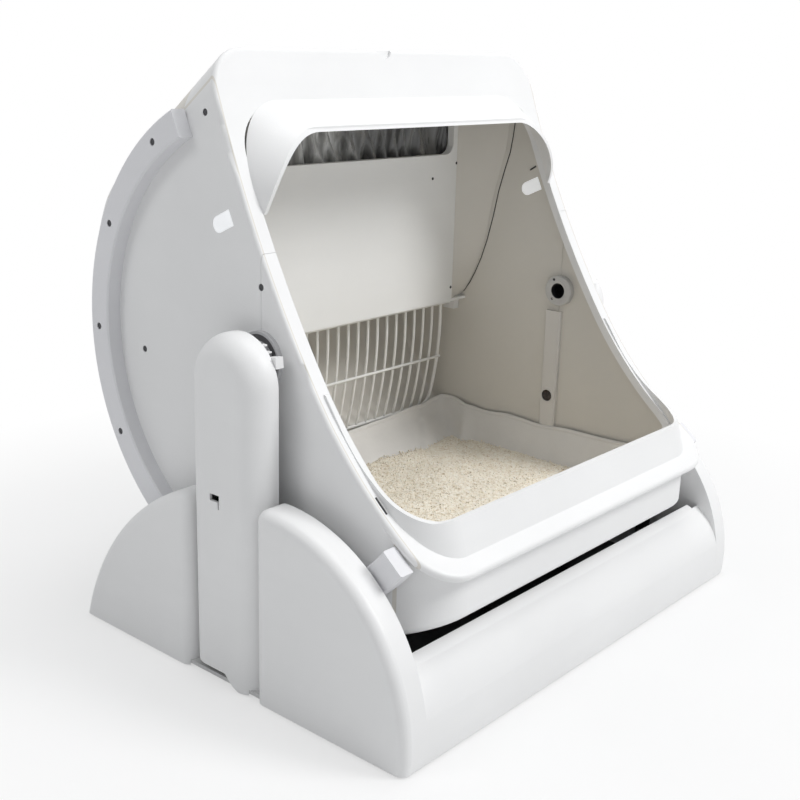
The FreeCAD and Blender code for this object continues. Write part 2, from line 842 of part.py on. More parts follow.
hatch_fit = 0.4
hatch_gap = math.degrees(hatch_fit / dim("drum_radius"))
hatch_inner = dim("drum_radius - wall")
hatch_outer = dim("drum_radius")
hatch = [sector(hatch_inner, hatch_outer, hatch_low + hinge_drop, hatch_high - hatch_gap,
                -hatch_half + hatch_fit, hatch_half - hatch_fit)]
bores = []
for x_from in (-150, 90):
    hatch.append(sector(hatch_inner, hatch_outer, hatch_low + 0.3, hatch_low + 2, x_from, x_from + 60))
    hatch.append(Part.makeCylinder(dim("hinge_radius"), 60, spot(x_from, HINGE), Vector(1, 0, 0)))
    bore = Part.makeCylinder(dim("hinge_pin + running_fit"), 62, spot(x_from - 1, HINGE), Vector(1, 0, 0))
    bores.append(bore)
grip = Part.makeCylinder(16, 12, spot(0, polar(hatch_high - 1.5, hatch_outer + 6)), Vector(0, CROWN.real, CROWN.imag))
grip.translate(Vector(0, -CROWN.real, -CROWN.imag) * 7.5)
shaped("waste_lid", hatch[0].fuse(hatch[1:]).cut(bores).cut(grip).removeSplitter())
pin_half = hatch_half - 3.5
lid_pin = Part.makeCylinder(dim("hinge_pin"), 2 * pin_half, spot(-pin_half, HINGE), Vector(1, 0, 0))
shaped("lid_hinge_pin", lid_pin)

# Wire grille, welded: a bent frame rod, a hinge rod, a cross rod and curved bars

rod, wire = dim("rod"), dim("wire")
grille_half = dim("grille_half")
bend_centre = complex(dim("grille_y + grille_bend"), dim("grille_bend_z - pivot_height"))
bend_radius = dim("grille_bend")


def on_bend(z, out=0.0):
    """The grille's surface at a height, where out is measured to the front of it."""
    lift = z - dim("grille_bend_z")
    angle = math.asin(lift / bend_radius)
    return bend_centre + (bend_radius + out) * complex(-math.cos(angle), math.sin(angle))


top_rod = level("grille_y", "grille_z")
low_rod = on_bend(dim("grille_low"))
corner_turn = 15
low_heading = unit(low_rod - on_bend(dim("grille_low") + 2))
corner_start = on_bend(dim("grille_low") + corner_turn * abs(low_heading.imag))


def grille_path(side_from, side_to):
    """The frame rod's centre line: down one side, round the corner and along the bottom, and up again."""
    edges = []
    middle = on_bend((dim("grille_bend_z") + corner_start.imag + dim("pivot_height")) / 2)
    for side in (-1, 1):
        x = side * grille_half
        start = spot(x, on_bend(dim("grille_bend_z")))
        end = spot(x, corner_start)
        foot = spot(side * (grille_half - corner_turn), low_rod)
        drop = corner_turn * math.sqrt(0.5)
        centre = spot(side * (grille_half - corner_turn), corner_start)
        down = (foot - centre).normalize()
        bend = centre + down * drop + Vector(side * drop, 0, 0)
        edges.append(Part.LineSegment(spot(x, top_rod), start).toShape())
        edges.append(Part.Arc(start, spot(x, middle), end).toShape())
        edges.append(Part.Arc(end, bend, foot).toShape())
    edges.append(Part.LineSegment(spot(-(grille_half - corner_turn), low_rod),
                                  spot(grille_half - corner_turn, low_rod)).toShape())
    return Part.Wire(Part.__sortEdges__(edges))


frame_path = grille_path(-1, 1)
start_point = frame_path.OrderedVertexes[0].Point
profile = Part.Wire(Part.Circle(start_point, Vector(0, 0, 1), rod).toShape())
frame_rod = frame_path.makePipeShell([profile], True, False)
hinge_reach = grille_half + 23
hinge_radius = dim("grille_hinge")
hinge_rod = Part.makeCylinder(hinge_radius, 2 * hinge_reach, spot(-hinge_reach, top_rod), Vector(1, 0, 0))
cross_half = grille_half + rod
cross_rod = Part.makeCylinder(wire, 2 * cross_half, spot(-cross_half, on_bend(212, 2.2)), Vector(1, 0, 0))
frame_rod = frame_rod.cut(hinge_rod)
cross_rod = cross_rod.cut(frame_rod)
pitch = 2 * grille_half / (dim("grille_bars") - 1)
bent = on_bend(dim("grille_bend_z"))
foot = on_bend(dim("grille_low"))
outward = unit(foot - bend_centre)
bar_path = [
    (top_rod - wire, None),
    (bent - wire, bow(bend_centre, bent - wire, foot + outward * wire)),
    (foot + outward * wire, None),
    (foot - outward * wire, bow(bend_centre, bent + wire, foot - outward * wire)),
    (bent + wire, None),
    (top_rod + wire, None),
]
bars = []
for number in range(1, int(dim("grille_bars")) - 1):
    x = -grille_half + number * pitch
    bar = prism(bar_path, x - wire, x + wire).cut([hinge_rod, cross_rod, frame_rod])
    bars.append(max(bar.Solids, key=lambda solid: solid.Volume))
shaped("grille_frame", frame_rod)
shaped("grille_hinge_rod", hinge_rod)
shaped("grille_cross_rod", cross_rod)
shaped("grille_bars", Part.makeCompound(bars))

clip_wide = dim("clip_wide")
clips = []
for side in (-1, 1):
    low = side * (half - dim("wall")) - (clip_wide if side > 0 else 0)
    clip = slab(low, low + clip_wide, 159, 177, 275, floor_z)
    hole = Part.makeCylinder(hinge_radius + dim("running_fit"), clip_wide + 2, spot(low - 1, top_rod), Vector(1, 0, 0))
    clips.append(clip.cut(hole).common(inside))
shaped("grille_clips", Part.makeCompound(clips))

# Soft liner and the litter in it

gap = dim("wall + liner_gap")
thick = dim("liner_thick")
liner_back, liner_top = dim("liner_back"), dim("liner_top")
liner = drum_solid(gap, dim("flange_thick") + 1).common(slab(-300, 300, -300, liner_back, 0, liner_top))
hollow = drum_solid(gap + thick, dim("flange_thick")).common(slab(-300, 300, -300, liner_back - thick, 0, 400))
shaped("liner", liner.cut(hollow))
litter = drum_solid(gap + thick + 0.3, dim("flange_thick"))
shaped("litter", litter.common(slab(-300, 300, -300, liner_back - thick - 0.3, 0, dim("litter_top"))))

# Rails along the rim of both side panels, with their screws

rail_mid = (dim("rail_start") + dim("rail_end")) / 2


def rail_point(radius, angle):
    return ("%s * cos(%s)" % (radius, angle), "pivot_height + %s * sin(%s)" % (radius, angle))


RAIL_OUTLINE = [
    rail_point("rail_outer", "rail_end") + ("rail_outer",),
    rail_point("rail_outer", "-90") + ("rail_outer",),
    rail_point("rail_outer", "0") + ("rail_outer",),
    rail_point("rail_outer", "rail_start"),
    rail_point("rail_inner", "rail_start") + ("-rail_inner",),
    rail_point("rail_inner", "0") + ("-rail_inner",),
    rail_point("rail_inner", "-90") + ("-rail_inner",),
    rail_point("rail_inner", "rail_end"),
]
screw_line = "((rail_inner + rail_outer) / 2 + 1)"
screw_turns = ["(54.7 - %d * 28)" % number for number in range(int(dim("rail_screws")))]
for side, name in ((-1, "left"), (1, "right")):
    start = "drum_half" if side > 0 else "-drum_half - rail_thick"
    rail = padded(name + "_rail_body", start, "rail_thick", [RAIL_OUTLINE])
    recess = "drum_half + rail_thick - 2.5" if side > 0 else "-drum_half - rail_thick"
    circles = [rail_point(screw_line, turn) + ("screw_head + 0.4",) for turn in screw_turns]
    pocketed(rail, recess, "2.5", [], circles)
    face_x = side * dim("drum_half + rail_thick")
    bevelled(rail, "1.5", lambda edge: at_x(face_x)(edge) and edge.Length > 40)
    node(rail, name + "_rail")
screws = []
for side in (-1, 1):
    for turn in screw_turns:
        y, z = rail_point(screw_line, turn)
        x = "drum_half + rail_thick - 2.5" if side > 0 else "-drum_half - rail_thick + 0.7"
        screws.append(cylinder("rail_screw", "X", (x, y, z), "screw_head", "1.8"))
node(group("rail_screw_group", screws), "rail_screws")

screws = []
for side in (-1, 1):
    for point in SHELL_SCREWS:
        x = "drum_half - 1.5" if side > 0 else "-drum_half + 0.5"
        y, z = "%.2f" % point.real, "pivot_height + %.2f" % point.imag
        screws.append(cylinder("shell_screw", "X", (x, y, z), "screw_head", "1"))
node(group("shell_screw_group", screws), "shell_screws")

windows = []
for side in (-1, 1):
    x_out = side * (half - 0.4)
    x_in = side * (half - dim("wall"))
    windows.append(side_window(min(x_out, x_in), max(x_out, x_in), 0))
shaped("side_windows", Part.makeCompound(windows))

# Hub on each side: disc and axle tube, boss inside the drum with two screws

for side, name in ((-1, "left"), (1, "right")):
    disc_x = "drum_half" if side > 0 else "-drum_half - hub_disc_thick"
    hub = padded(name + "_hub_body", disc_x, "hub_disc_thick", [], [("0", "pivot_height", "hub_disc")])
    tube_x = "drum_half - wall - boss_thick" if side > 0 else "-gear_start - gear_face - 3"
    add_pad(hub, tube_x, "gear_start + gear_face + 3 - drum_half + wall + boss_thick", [],
            [("0", "pivot_height", "axle_radius")])
    pocketed(hub, tube_x, "gear_start + gear_face + 3 - drum_half + wall + boss_thick", [],
             [("0", "pivot_height", "axle_bore")])
    node(hub, name + "_hub")
    boss_x = "drum_half - wall - boss_thick" if side > 0 else "-drum_half + wall"
    boss = padded(name + "_boss_body", boss_x, "boss_thick", [],
                  [("0", "pivot_height", "boss_radius"), ("0", "pivot_height", "axle_radius")])
    face_x = side * dim("drum_half - wall - boss_thick")
    bevelled(boss, "1.2", lambda edge: at_x(face_x)(edge) and edge.BoundBox.YLength > 45)
    node(boss, name + "_hub_boss")
screws = []
for side in (-1, 1):
    for turn in ("125", "235"):
        x = "drum_half - wall - boss_thick - 0.8" if side > 0 else "-drum_half + wall + boss_thick"
        y, z = rail_point("(axle_radius + boss_radius) / 2", turn)
        screws.append(cylinder("hub_screw", "X", (x, y, z), "1.6", "0.8"))
node(group("hub_screw_group", screws), "hub_screws")

# Duct cover and sensor lens on the right inner wall

duct = padded("duct_body", "drum_half - wall - 5", "5", [[("-4", "147.5"), ("18", "147.5"), ("18", "296"), ("-4", "296")]])
bevelled(duct, "1.5", lambda edge: at_x(dim("drum_half - wall - 5"))(edge) and edge.BoundBox.ZLength > 50)
pocketed(duct, "drum_half - wall - 5", "5", [], [("8", "187", "5")])
node(duct, "duct_cover")
lens = padded("lens_body", "drum_half - wall - 5.6", "5.6", [], [("8", "187", "5")])
bevelled(lens, "0.8", at_x(dim("drum_half - wall - 5.6")))
node(lens, "sensor_lens")

# Gears: involute teeth, cut with backlash


def gear_blank(teeth, phase, centre, x_from, length):
    """An external spur gear about a centre (Y, Z), with a tooth at the phase angle."""
    module = dim("gear_module")
    pitch_radius = module * teeth / 2
    base = pitch_radius * math.cos(math.radians(20))
    outer = pitch_radius + module
    root = pitch_radius - 1.25 * module

    def involute(radius):
        angle = math.acos(min(base / radius, 1))
        return math.tan(angle) - angle

    half_tooth = math.pi / (2 * teeth) - dim("backlash") / 4 / pitch_radius
    radii = [max(base, root), pitch_radius, outer]
    points = []
    for tooth in range(teeth):
        middle = math.radians(phase) + 2 * math.pi * tooth / teeth
        flank = [half_tooth + involute(pitch_radius) - involute(radius) for radius in radii]
        rising = [(root, -flank[0])] + [(radius, -turn) for radius, turn in zip(radii, flank)]
        falling = [(radius, -turn) for radius, turn in reversed(rising)]
        for radius, turn in rising + falling:
            point = centre + polar(math.degrees(middle + turn), radius)
            if not points or abs(points[-1] - point) > 0.02:
                points.append(point)
    return polygon(points, x_from, x_from + length)


gear_x, gear_face = dim("gear_start"), dim("gear_face")
teeth, pinion_teeth = int(dim("gear_teeth")), int(dim("pinion_teeth"))
centres = dim("gear_module") * (teeth + pinion_teeth) / 2
PINION = complex(0, -centres)
bore = Part.makeCylinder(dim("axle_radius"), gear_face + 2, spot(gear_x - 1, 0), Vector(1, 0, 0))
shaped("drum_gear", gear_blank(teeth, -90, 0, gear_x, gear_face).cut(bore))
pinion = gear_blank(pinion_teeth, 90 + 180 / pinion_teeth, PINION, gear_x, gear_face)
shaft = Part.makeCylinder(3, gear_face + 14, spot(gear_x, PINION), Vector(1, 0, 0))
shaped("drive_pinion", pinion.fuse(shaft).removeSplitter())

# Towers: frame plate, cover and bearing

TOWER_MID = "(tower_front + tower_round)"


def tower_outline(inset, foot):
    front = "tower_front + " + inset
    back = "tower_front + 2 * tower_round - " + inset
    bend = "tower_round - " + inset
    return [
        (front, foot),
        (back, foot),
        (back, "tower_arch", bend),
        (TOWER_MID, "tower_arch + " + bend, bend),
        (front, "tower_arch"),
    ]


for side, name in ((-1, "left"), (1, "right")):
    plate_x = "tower_inner" if side > 0 else "-tower_inner - frame_plate"
    plate = padded(name + "_plate_body", plate_x, "frame_plate", [tower_outline("0", "tray_low + tray_thick")])
    pocketed(plate, plate_x, "frame_plate", [], [("0", "pivot_height", "bearing_radius")])
    slot = [("-36.3", "pivot_height - 19"), ("-25.9", "pivot_height - 19"), ("-25.9", "pivot_height - 13"), ("-36.3", "pivot_height - 13")]
    pocketed(plate, plate_x, "frame_plate", [slot])
    rib_x = "tower_inner - 5" if side > 0 else "-tower_inner"
    for y, low in ((-26, 13), (-20, 18.5)):
        rib = [(y, "pivot_height + %s" % low), (y + 5, "pivot_height + %s" % low),
               (y + 5, "pivot_height + %s" % (low + 1.4)), (y, "pivot_height + %s" % (low + 1.4))]
        add_pad(plate, rib_x, "5", [rib])
    node(plate, name + "_tower_frame")

    outer_x = "tower_inner + frame_plate" if side > 0 else "-overall_width / 2"
    depth = "overall_width / 2 - tower_inner - frame_plate"
    skin = padded(name + "_cover_skin", outer_x, depth, [tower_outline("0", "foot_z")])
    rounded(skin, "cover_round", at_x(side * dim("overall_width / 2")))
    inner_x = "tower_inner + frame_plate - 1" if side > 0 else "-overall_width / 2 + cover_wall"
    room = padded(name + "_cover_room", inner_x, depth + " - cover_wall + 1", [tower_outline("cover_wall", "foot_z - 1")])
    rounded(room, "cover_round - cover_wall",
            lambda edge: at_x(side * dim("overall_width / 2 - cover_wall"))(edge) and edge.BoundBox.ZMax > 10)
    low_x = "overall_width / 2 - 40" if side > 0 else "-overall_width / 2 - 1"
    arch = padded(name + "_arch", low_x, "41", [[("-26", "0"), ("50", "0"), ("50", "9", "6"), ("44", "15"), ("2", "15", "-40")]])
    mark_x = "overall_width / 2 - 4" if side > 0 else "-overall_width / 2 - 1"
    tall = block(name + "_mark_tall", (mark_x, "7", "184"), ("5", "2", "9"))
    wide = block(name + "_mark_wide", (mark_x, "7", "191"), ("5", "13", "7"))
    tray_room = block(name + "_tray_room", ("-tray_half - 0.3", "-60", "0"), ("2 * tray_half + 0.6", "140", "tray_low + tray_thick"))
    node(cut(name + "_cover", skin, room, arch, tall, wide, tray_room), name + "_tower_cover")

    bush_x = "tower_inner - 1.5" if side > 0 else "-tower_inner - frame_plate - 1.5"
    bush = padded(name + "_bush_body", bush_x, "frame_plate + 3", [],
                  [("0", "pivot_height", "bearing_radius")])
    rim_x = "tower_inner + frame_plate" if side > 0 else "-tower_inner - frame_plate - 1.5"
    add_pad(bush, rim_x, "1.5", [], [("0", "pivot_height", "bearing_radius + 2")])
    pocketed(bush, bush_x, "frame_plate + 3", [], [("0", "pivot_height", "axle_radius + running_fit")])
    node(bush, name + "_hub_bearing")

# Axle latches: a tab that slides forwards in a slot of the tower frame

for side, name in ((-1, "left"), (1, "right")):
    tab_low = "tower_inner - 9.5" if side > 0 else "-tower_inner + latch_gap"
    tab = [("-37", "pivot_height + 0.5"), ("-24", "pivot_height + 0.5"), ("-24", "pivot_height + 9"), ("-36", "pivot_height + 11")]
    latch = padded(name + "_latch_body", tab_low, "9.5 - latch_gap", [tab])
    arm_low = "tower_inner - 3.5" if side > 0 else "-tower_inner + latch_gap"
    arm = [("-31", "pivot_height - 20"), ("-25", "pivot_height - 20"), ("-25", "pivot_height + 1"), ("-31", "pivot_height + 1")]
    add_pad(latch, arm_low, "3.5 - latch_gap", [arm])
    neck_low = "tower_inner - latch_gap - 0.5" if side > 0 else "-tower_inner - frame_plate - latch_gap"
    neck = [("-30", "pivot_height - 19 + latch_gap"), ("-26.2", "pivot_height - 19 + latch_gap"),
            ("-26.2", "pivot_height - 13 - latch_gap"), ("-30", "pivot_height - 13 - latch_gap")]
    add_pad(latch, neck_low, "frame_plate + 2 * latch_gap + 0.5", [neck])
    head_low = "tower_inner + frame_plate + latch_gap" if side > 0 else "-tower_inner - frame_plate - latch_gap - 1.2"
    head = [("-30", "pivot_height - 20.5"), ("-26.2", "pivot_height - 20.5"),
            ("-26.2", "pivot_height - 11.5"), ("-30", "pivot_height - 11.5")]
    add_pad(latch, head_low, "1.2", [head])
    node(latch, name + "_axle_latch")

# Base covers: two hollow flares joined by an apron, at the front and at the rear


def flare_outline(inset, foot, sign, centre_y, centre_z, radius, corner):
    """One flare's side outline. The sign is -1 in front of the towers and 1 behind them."""
    wide = "(%s - %s)" % (radius, inset)
    bend = "(%s - %s)" % (corner, inset) if dim(corner) > dim(inset) + 1 else "1"
    start = "(tower_front - tower_gap - %s)" % inset
    if sign > 0:
        start = "(tower_front + 2 * tower_round + tower_gap + %s)" % inset
    bend_y = "(%s + %s * %s)" % (start, sign, bend)
    reach = "(%s - %s)" % (wide, bend)
    bend_z = "(%s + sqrt(%s ^ 2 - (%s - %s) ^ 2))" % (centre_z, reach, bend_y, centre_y)
    touch_y = "%s + (%s - %s) * %s / %s" % (centre_y, bend_y, centre_y, wide, reach)
    touch_z = "%s + (%s - %s) * %s / %s" % (centre_z, bend_z, centre_z, wide, reach)
    foot_y = "%s + %s * sqrt(%s ^ 2 - (%s - %s) ^ 2)" % (centre_y, sign, wide, foot, centre_z)
    points = [(foot_y, foot), (start, foot), (start, bend_z), (touch_y, touch_z)]
    if sign < 0:
        return [points[0], points[1], points[2] + (bend,), points[3] + (wide,)]
    return [points[1], points[0] + (wide,), points[3] + (bend,), points[2]]


def base_cover(name, sign, centre_y, centre_z, radius, corner, apron, extras):
    solids, rooms = [], []
    for side, word in ((-1, "left"), (1, "right")):
        skin_x = "flare_inner" if side > 0 else "-overall_width / 2"
        skin = padded("%s_%s_skin" % (name, word), skin_x, "overall_width / 2 - flare_inner",
                      [flare_outline("0", "foot_z", sign, centre_y, centre_z, radius, corner)])
        rounded(skin, "flare_edge", at_x(side * dim("overall_width / 2")))
        room_x = "flare_inner + flare_wall" if side > 0 else "-overall_width / 2 + flare_wall"
        room = padded("%s_%s_room" % (name, word), room_x, "overall_width / 2 - flare_inner - 2 * flare_wall",
                      [flare_outline("flare_wall", "foot_z - 1", sign, centre_y, centre_z, radius, corner)])
        rounded(room, "flare_edge - flare_wall", at_x(side * dim("overall_width / 2 - flare_wall")))
        solids.append(skin)
        rooms.append(room)
    solids.append(padded(name + "_apron", "-flare_inner - 0.5", "2 * flare_inner + 1", [apron]))
    tray_y = "tray_front - 0.3" if sign < 0 else "-60"
    tray_wide = "200 - tray_front" if sign < 0 else "tray_back + 60.3"
    rooms.append(block(name + "_tray_room", ("-tray_half - 0.3", tray_y, "0"), ("2 * tray_half + 0.6", tray_wide, "tray_low + tray_thick")))
    rooms += extras
    for side in (-1, 1):
        edge = "flare_inner - 13" if side > 0 else "-flare_inner"
        low_y = "-197" if sign < 0 else "170"
        rooms.append(block(name + "_end_notch", (edge, low_y, "73"), ("13", "27", "40")))
    return node(cut(name + "_body", joined(name + "_skins", solids), *rooms), name)


FRONT_APRON = [
    ("-226.7", "foot_z"),
    ("-223.2", "foot_z"),
    ("-223.1", "45", "-56.5"),
    ("-199", "80.5", "-14.5"),
    ("-187.6", "86.2"),
    ("-190", "89.5", "18"),
    ("-201.3", "83.4", "60"),
    ("-226.6", "45", "front_radius"),
]
base_cover("front_cover", -1, "front_y", "front_z", "front_radius", "front_corner", FRONT_APRON, [])

REAR_APRON = [
    ("227.6", "foot_z"),
    ("231.2", "foot_z", "rear_radius"),
    ("200.5", "75", "16"),
    ("190.3", "88.3"),
    ("187.8", "85.2", "-12"),
    ("197.3", "73.4", "-(rear_radius - flare_wall)"),
]
inlet_hole = cylinder("inlet_hole", "Y", ("-200", "200", "28"), "5.2", "40")
base_cover("rear_cover", 1, "rear_y", "rear_z", "rear_radius", "rear_corner", REAR_APRON, [inlet_hole])

# Tray, feet and base screws

tray_size = ("2 * tray_half", "tray_back - tray_front", "tray_thick")
tray = block("tray_plate", ("-tray_half", "tray_front", "tray_low"), tray_size)
ribs = []
for x in (-150, 0, 150):
    ribs.append(block("tray_rib", ("%d - 1.5" % x, "tray_front + 20", "tray_low + tray_thick - 0.5"),
                      ("3", "tray_back - tray_front - 40", "6")))
node(joined("tray", [tray] + ribs), "base_tray")

feet = []
for x in ("-(tray_half - 41)", "tray_half - 41"):
    for y in ("-185", "8", "190"):
        feet.append(cylinder("foot", "Z", (x, y, "0"), "13", "tray_low"))
node(group("foot_group", feet), "rubber_feet")

screws = []
for x in ("-(tray_half - 11)", "tray_half - 11"):
    for y in ("-150", "-90", "90", "150"):
        screws.append(cylinder("base_screw", "Z", (x, y, "tray_low - 1.2"), "screw_head", "1.2"))
node(group("base_screw_group", screws), "base_screws")

screws = []
for side in (-1, 1):
    for y in ("-28", "43"):
        for z in ("92", "176", "260"):
            x = "tower_inner - 0.9" if side > 0 else "-tower_inner"
            screws.append(cylinder("tower_screw", "X", (x, y, z), "screw_head", "0.9"))
node(group("tower_screw_group", screws), "tower_screws")

# Rollers that carry the rails: bracket, pin and roller at each of four places

ROLLER_LINE = "rail_outer + roller_radius + roller_gap"
brackets, pins = [], []
for word, turn in (("front", "-120"), ("rear", "-80")):
    y, z = rail_point("(%s)" % ROLLER_LINE, turn)
    for side, name in ((-1, "left"), (1, "right")):
        plate_x = "tower_inner - 2" if side > 0 else "-tower_inner"
        foot_x = "tower_inner - 12" if side > 0 else "-tower_inner"
        upright = block("bracket_upright", (plate_x, y + " - 9", "tray_low + tray_thick"), ("2", "18", z + " - tray_low - tray_thick"))
        crest = cylinder("bracket_crest", "X", (plate_x, y, z), "9", "2")
        foot = block("bracket_foot", (foot_x, y + " - 9", "tray_low + tray_thick"), ("12", "18", "2.5"))
        hole = cylinder("bracket_hole", "X", (plate_x, y, z), "roller_pin", "2")
        brackets.append(cut("bracket", joined("bracket_solid", [upright, crest, foot]), hole))
        pin_x = "roller_start - 0.5" if side > 0 else "-tower_inner"
        pins.append(cylinder("pin", "X", (pin_x, y, z), "roller_pin", "tower_inner - roller_start + 0.5"))
        roller_x = "roller_start" if side > 0 else "-roller_start - roller_wide"
        roller = padded("%s_%s_roller_body" % (name, word), roller_x, "roller_wide", [],
                        [(y, z, "roller_radius"), (y, z, "roller_pin + running_fit")])
        bevelled(roller, "0.8", lambda edge: edge.BoundBox.YLength > 20)
        node(roller, "%s_%s_roller" % (name, word))
node(group("bracket_group", brackets), "roller_brackets")
node(group("pin_group", pins), "roller_pins")

# Drive in the right tower, control board in the left one, inlet at the rear

PINION_Z = "pivot_height - gear_module * (gear_teeth + pinion_teeth) / 2"
GEARBOX_X = "gear_start + gear_face + 3"
case = block("gearbox", (GEARBOX_X, "-18", PINION_Z + " - 24"), ("13", "36", "34"))
can = cylinder("motor_can", "Z", (GEARBOX_X + " + 1", "0", PINION_Z + " - 76"), "11.5", "58")
cap = cylinder("motor_cap", "Z", (GEARBOX_X + " + 1", "0", PINION_Z + " - 80"), "5", "4")
posts = []
for y in ("-15.5", "15.5"):
    for drop in ("- 15", "- 1"):
        posts.append(cylinder("post", "X", ("tower_inner + frame_plate", y, PINION_Z + drop), "2.4", "12"))
shaft_hole = cylinder("shaft_hole", "X", (GEARBOX_X + " - 1", "0", PINION_Z), "3 + running_fit", "12.5")
node(cut("motor", joined("motor_solid", [case, can, cap] + posts), shaft_hole), "drive_motor")

board_x = "-tower_inner - frame_plate - 4"
board = [block("board_plate", (board_x, "-22", "80"), ("1.6", "60", "120"))]
for y in ("-18", "34"):
    for z in ("84", "196"):
        board.append(cylinder("standoff", "X", (board_x + " + 1", y, z), "2.5", "3"))
for number, (y, z, wide, tall, deep) in enumerate(((-8, 110, 14, 14, 2.2), (14, 100, 16, 22, 9), (-12, 160, 20, 8, 6), (16, 158, 14, 26, 7))):
    board.append(block("board_part", (board_x + " - %s" % deep, y, z), (deep + 0.2, wide, tall)))
node(joined("board", board), "control_board")

jack = block("jack_case", ("-208", "203", "19"), ("16", "12.8", "18"))
barrel = cylinder("jack_barrel", "Y", ("-200", "210", "28"), "5.1", "13.2")
socket = cylinder("jack_socket", "Y", ("-200", "212", "28"), "3.2", "12")
stem = block("jack_stand", ("-208", "203", "tray_low + tray_thick"), ("16", "12", "12"))
contact = cylinder("jack_contact", "Y", ("-200", "211", "28"), "1", "9")
inlet = cut("jack_hollow", joined("jack_solid", [jack, barrel, stem]), socket)
node(joined("jack", [inlet, contact]), "power_inlet")

doc.recompute()

# Check every object and write the files

for item in doc.Objects:
    if "Invalid" in item.State or "Error" in item.State:
        raise RuntimeError("%s (%s) failed: %s" % (item.Name, item.Label, item.State))
for item in NODES:
    shape = item.Shape
    if shape.isNull() or not shape.isValid() or shape.Volume <= 0:
        raise RuntimeError(item.Label + " has no valid shape")
    shape.exportStep("parts/%s.step" % item.Label)
    box = shape.BoundBox
    print("%-20s %2d solids %10.0f mm3  X %7.1f %7.1f  Y %7.1f %7.1f  Z %6.1f %6.1f" % (
        item.Label, len(shape.Solids), shape.Volume, box.XMin, box.XMax, box.YMin, box.YMax, box.ZMin, box.ZMax))
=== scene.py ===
import json
import math
import random

import bmesh
import bpy
from mathutils import Matrix, Vector, noise
from mathutils.bvhtree import BVHTree


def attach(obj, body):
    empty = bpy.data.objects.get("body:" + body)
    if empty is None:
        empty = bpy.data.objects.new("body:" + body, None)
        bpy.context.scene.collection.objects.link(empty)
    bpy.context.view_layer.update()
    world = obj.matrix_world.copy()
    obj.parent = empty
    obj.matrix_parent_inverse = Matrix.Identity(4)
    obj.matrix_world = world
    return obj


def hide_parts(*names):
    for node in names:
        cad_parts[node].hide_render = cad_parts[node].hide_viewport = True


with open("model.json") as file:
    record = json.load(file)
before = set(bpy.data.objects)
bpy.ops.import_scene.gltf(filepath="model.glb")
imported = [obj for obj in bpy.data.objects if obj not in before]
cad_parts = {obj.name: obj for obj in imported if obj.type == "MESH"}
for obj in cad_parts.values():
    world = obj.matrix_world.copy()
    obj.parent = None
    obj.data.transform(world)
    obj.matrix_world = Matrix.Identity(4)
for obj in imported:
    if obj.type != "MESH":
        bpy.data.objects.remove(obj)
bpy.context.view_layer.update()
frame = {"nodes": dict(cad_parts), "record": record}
nodes = frame["nodes"]
random.seed(7)

# The drum's pivot line: its height in millimetres, and its place in metres
AXIS_HEIGHT = 322.5
PIVOT_Y = -0.0205
PIVOT_Z = AXIS_HEIGHT / 1000

# Where zones of one piece change colour, as distances in metres
WALL_FROM, WALL_TO = 0.2459, 0.2473
CABIN_RADIUS = 0.266
CABIN_LOW = 0.12
REAR_FROM = 0.09
FLANGE_BORE = 0.0094
HUB_BORE = 0.0156
HUB_FACE_MIDDLE, HUB_FACE_HALF = 0.0215, 0.003
TOWER_FROM = 0.267


def at(x, y, z):
    """A point given in millimetres from the pivot line's Y and the floor."""
    return Vector((x * 0.001, y * 0.001 + PIVOT_Y, z * 0.001))


# Materials

